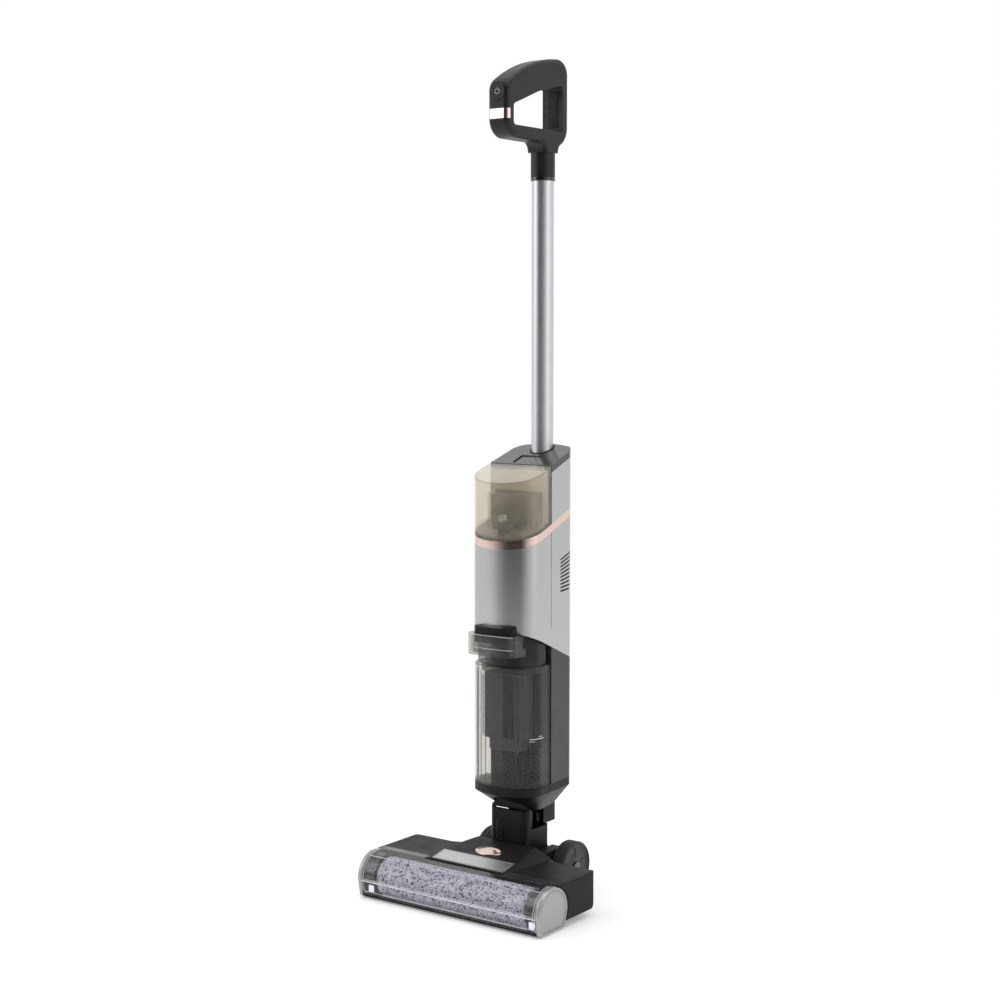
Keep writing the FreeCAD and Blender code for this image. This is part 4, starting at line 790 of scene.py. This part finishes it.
# ---------------------------------------------------------------- collar and its latch
collar_low, collar_high = [[c / mm for c in corner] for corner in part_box("tank_collar")]
collar = surface("tank_collar")
ribs = []
for x in steps(-30, 30, 13):
    front = meet(collar, (x, -100, collar_low[2] + 6), (0, 1, 0), -3.4)
    if front:
        ends = [(x, front.y, collar_low[2] + 3), (x, front.y, collar_high[2] - 3)]
        ribs.append(wire(ends, 0.45, 6))
piece("collar_ribs", join(ribs), smoke_lid, "waste_tank")
# Two near-white lines across the front of the smoky collar: painted highlight.
lines = []
for z in (collar_low[2] + 10, collar_high[2] - 1.2):
    lines.append(trace(collar, [(x, -100, z) for x in steps(-35, 35, 41)], (0, 1, 0), 0.05, 0.3))
piece("collar_painted_highlights", join(lines), painted_highlight_lines, "waste_tank")

latch_low, latch_high = [[c / mm for c in corner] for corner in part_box("tank_latch_button")]
latch = surface("tank_latch_button")
ribs = [trace(latch, [(x, y, 500) for x in steps(-14, 14, 15)], (0, 0, -1), 0.05, 0.45, 8)
        for y in steps(latch_low[1] + 3.5, latch_high[1] - 3.5, 4)]
piece("tank_latch_ribs", join(ribs), gloss_black, "waste_latch")

# ---------------------------------------------------------------- painted shells
# A black bar along the seam of the flush front and rear shells: painted shade, standing in for the
# shadow in the narrow gap where they meet.
seam_low, seam_high = 355, 500
starts = [(200, seam_y - 0.9, z) for z in steps(seam_low, seam_high, 30)]
seam = trace(surface("front_shell"), starts, (-1, 0, 0), -0.1, 0.3)
piece("shell_seam_painted_shade", both(seam), inner_black, "upright")
lower = surface("lower_rear_shell")
screws, slot_reach = [], 1.9
for x in (-30, 30):
    for z in (165, 318):
        spot = meet(lower, (x, 300, z), (0, -1, 0))
        if spot:
            slot_y = spot.y + 0.45
            screws.append(turned([(0.35, 3.1), (-1.5, 3.3)], spot, "y", 28))
            screws.append(wire([(x - slot_reach, slot_y, z), (x + slot_reach, slot_y, z)], 0.3, 6))
            screws.append(wire([(x, slot_y, z - slot_reach), (x, slot_y, z + slot_reach)], 0.3, 6))
piece("rear_screws", join(screws), dull_steel, "upright")
contacts, contact_z = [], 162
for x in (-9, 9):
    spot = meet(lower, (x, 300, contact_z), (0, -1, 0), -1.0)
    contacts.append(turned([(-1, 2.4), (0.5, 2.4), (0.9, 2.0), (0.9, 0.4)], spot, "y", 28))
piece("charge_contacts", join(contacts), steel, "upright")
pad = [meet(lower, (x, 300, contact_z + z), (0, -1, 0), 0.05)
       for x, z in rounded_loop(17, 7, 6.5)]
piece("charge_pad_line", wire(pad, 0.5, 8, True), inner_black, "upright")

# ---------------------------------------------------------------- clean water tank
def band_line(y):
    """Height of the clean tank's foot."""
    return band_high + slant * (y - front_y)


piece("clean_tank_foot_seal", strip(1.6, lambda y: band_line(y) + 2.0, 0.9, clean_back),
      inner_black, "water_tank")
top_front = 546.0  # height of the clean tank's upper edge at the front
upper_line = strip(0.8, lambda y: top_front + slant * (y - front_y) - 1.6, 0.35, clean_back)
lower_line = strip(0.9, lambda y: band_line(y) + 5.0, 0.3, clean_back)
piece("clean_tank_edge_lines", join([upper_line, lower_line]), smoke_lid, "water_tank")


def tank_back_wall():
    """Pale rear wall of the clean tank, open below where the pump tower stands in it."""
    wall_y, tower_x, tower_z = seam_y - 4.9, 38.0, 532.0
    low, high, reach = 488.0, 560.0, 46.0
    corners = [(-reach, low), (-tower_x, low), (-tower_x, tower_z), (tower_x, tower_z),
               (tower_x, low), (reach, low), (reach, high), (-reach, high)]
    verts = [(x, y, z) for y in (wall_y, wall_y + 0.6) for x, z in corners]
    count = len(corners)
    faces = [tuple(range(count)), tuple(range(count, 2 * count))]
    for i in range(count):
        j = (i + 1) % count
        faces.append((i, j, count + j, count + i))
    return verts, faces


piece("clean_tank_back", tank_back_wall(), liner_beige, "water_tank")
valve_low, valve_high = [[c / mm for c in corner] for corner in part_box("tank_valve")]
valve_spot = ((valve_low[0] + valve_high[0]) / 2, (valve_low[1] + valve_high[1]) / 2)
coil, coil_r, coil_rise, coil_steps = [], 5.5, 9.0, 120
for i in range(coil_steps + 1):
    turn = 2 * math.pi * i / 24
    coil.append((valve_spot[0] + coil_r * math.cos(turn), valve_spot[1] + coil_r * math.sin(turn),
                 valve_high[2] + 0.8 + coil_rise * i / coil_steps))
piece("valve_spring", wire(coil, 0.5, 8), steel, "water_tank")

# ---------------------------------------------------------------- tube and handle
tube_low, tube_high = [[c / mm for c in corner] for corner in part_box("handle_tube")]
tube_y = (tube_low[1] + tube_high[1]) / 2
tube_r = tube_high[0]
cap_tree = surface("top_cap")
gasket, gasket_r, round_steps = [], tube_r + 1.5, 48
for i in range(round_steps):
    turn = 2 * math.pi * i / round_steps
    x, y = gasket_r * math.cos(turn), tube_y + gasket_r * math.sin(turn)
    spot = meet(cap_tree, (x, y, 900), (0, 0, -1), 0.1)
    if spot:
        gasket.append(spot)
piece("tube_gasket", wire(gasket, 1.0, 10, True), tyre_rubber, "upright")
sleeve_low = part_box("handle_grip")[0][2] / mm
sleeve_profile = [(0.6, tube_r + 0.1), (0.6, tube_r + 1.5), (2.4, tube_r + 1.65),
                  (4.0, tube_r + 1.5), (4.0, tube_r + 0.1)]
piece("sleeve_ring", turned(sleeve_profile, (0, tube_y, sleeve_low), "z", around=True),
      gloss_black, "handle")
key_low, key_high = [[c / mm for c in corner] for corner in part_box("power_button")]
key_z = (key_low[2] + key_high[2]) / 2
mark, mark_r, mark_y, mark_steps = [], 3.3, key_low[1] + 0.1, 32
for i in range(mark_steps + 1):
    turn = math.radians(120 + 300 * i / mark_steps)
    mark.append((mark_r * math.cos(turn), mark_y, key_z + mark_r * math.sin(turn)))
stroke = [(0, mark_y, key_z + 1.4), (0, mark_y, key_z + 4.6)]
piece("power_symbol", join([wire(mark, 0.38, 6), wire(stroke, 0.38, 6)]), mark_white, "power_key")
key_rim, rim_r = [], 11.0
for i in range(round_steps):
    turn = 2 * math.pi * i / round_steps
    key_rim.append((rim_r * math.cos(turn), key_low[1] + 0.45, key_z + rim_r * math.sin(turn)))
piece("power_button_rim", wire(key_rim, 0.45, 8, True), gloss_black, "power_key")
pad_low, pad_high = [[c / mm for c in corner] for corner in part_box("grip_pad")]
pad_y, pad_half = pad_low[1] - 0.1, 6.2
pad_ribs = [wire([(-pad_half, pad_y, z), (pad_half, pad_y, z)], 0.55, 8)
            for z in steps(pad_low[2] + 4, pad_high[2] - 4, 10)]
piece("grip_pad_ribs", join(pad_ribs), tyre_rubber, "handle")


# ================================================================ stage
def area_light(name, place, target, size, power):
    data = bpy.data.lights.new(name, "AREA")
    data.shape = "RECTANGLE"
    data.size, data.size_y = size
    data.energy = power
    lamp = bpy.data.objects.new(name, data)
    lamp.location = place
    lamp.rotation_euler = (Vector(target) - Vector(place)).to_track_quat("-Z", "Y").to_euler()
    bpy.context.scene.collection.objects.link(lamp)


def camera():
    """Camera at the photograph's angle: to the right of the front and a little above the nozzle."""
    azimuth, tilt = math.radians(36.21), math.radians(5.08)
    data = bpy.data.cameras.new("camera")
    data.lens, data.sensor_width = 64.8, 36
    made = bpy.data.objects.new("camera", data)
    made.location = (1.368, -1.8753, 0.7287)
    forward = Vector((-math.sin(azimuth) * math.cos(tilt), math.cos(azimuth) * math.cos(tilt),
                      -math.sin(tilt)))
    made.rotation_euler = forward.to_track_quat("-Z", "Y").to_euler()
    bpy.context.scene.collection.objects.link(made)
    bpy.context.scene.camera = made


def floor():
    """Plain pale floor with a faint glow, so that shadows stay soft."""
    size, glow = 1.7, 0.22
    mesh = bpy.data.meshes.new("floor")
    corners = [(-size, -size, 0), (size, -size, 0), (size, size, 0), (-size, size, 0)]
    mesh.from_pydata(corners, [], [(0, 1, 2, 3)])
    made = bpy.data.objects.new("floor", mesh)
    look, tree, shader = new_material("pale_floor")
    tree.links.new(ramp(tree, noise(tree, 3, 2), (0.88, 0.88, 0.88), (0.9, 0.9, 0.9)),
                   shader.inputs["Base Color"])
    shader.inputs["Roughness"].default_value = 0.9
    shader.inputs["Specular IOR Level"].default_value = 0.1
    shader.inputs["Emission Color"].default_value = (1, 1, 1, 1)
    shader.inputs["Emission Strength"].default_value = glow
    mesh.materials.append(look)
    bpy.context.scene.collection.objects.link(made)


def studio():
    """White room with one dark gap, as between two large soft boxes."""
    world = bpy.data.worlds.new("studio")
    bpy.context.scene.world = world
    world.use_nodes = True
    tree = world.node_tree
    where = add(tree, "ShaderNodeTexCoord")
    level = add(tree, "ShaderNodeVectorMath", operation="MULTIPLY")
    level.inputs[1].default_value = (1, 1, 0.45)
    tree.links.new(where.outputs["Generated"], level.inputs[0])
    heading = add(tree, "ShaderNodeVectorMath", operation="NORMALIZE")
    tree.links.new(level.outputs["Vector"], heading.inputs[0])
    gap = add(tree, "ShaderNodeVectorMath", operation="DOT_PRODUCT")
    gap.inputs[1].default_value = (0.17, -0.985, 0.0)
    tree.links.new(heading.outputs["Vector"], gap.inputs[0])
    tone = add(tree, "ShaderNodeValToRGB")
    stops = tone.color_ramp.elements
    gap_tones = ((0.57, 0.72), (0.74, 0.42), (0.87, 0.13), (0.95, 0.02))  # place and grey
    stops[0].position, stops[0].color = 0.3, (0.95, 0.95, 0.95, 1)
    stops[1].position, stops[1].color = 1.0, (0.02, 0.02, 0.02, 1)
    for place, grey in gap_tones:
        stops.new(place).color = (grey, grey, grey, 1)
    tree.links.new(gap.outputs["Value"], tone.inputs["Fac"])
    sight = add(tree, "ShaderNodeLightPath")
    pick = add(tree, "ShaderNodeMix", data_type="RGBA")
    tree.links.new(sight.outputs["Is Camera Ray"], pick.inputs["Factor"])
    tree.links.new(tone.outputs["Color"], pick.inputs["A"])
    pick.inputs["B"].default_value = (1, 1, 1, 1)
    tree.links.new(pick.outputs["Result"], tree.nodes["Background"].inputs["Color"])
    tree.nodes["Background"].inputs["Strength"].default_value = 1.0


bpy.context.scene.view_settings.view_transform = "Standard"
camera()
floor()
studio()
area_light("soft_left", (-1.6, -1.5, 1.5), (0, 0, 0.5), (1.2, 2.0), 14)
area_light("soft_right", (2.2, 0.2, 1.3), (0, 0, 0.5), (1.0, 2.0), 6)
area_light("soft_top", (0.2, -0.3, 2.6), (0, 0, 0.3), (1.6, 1.6), 16)
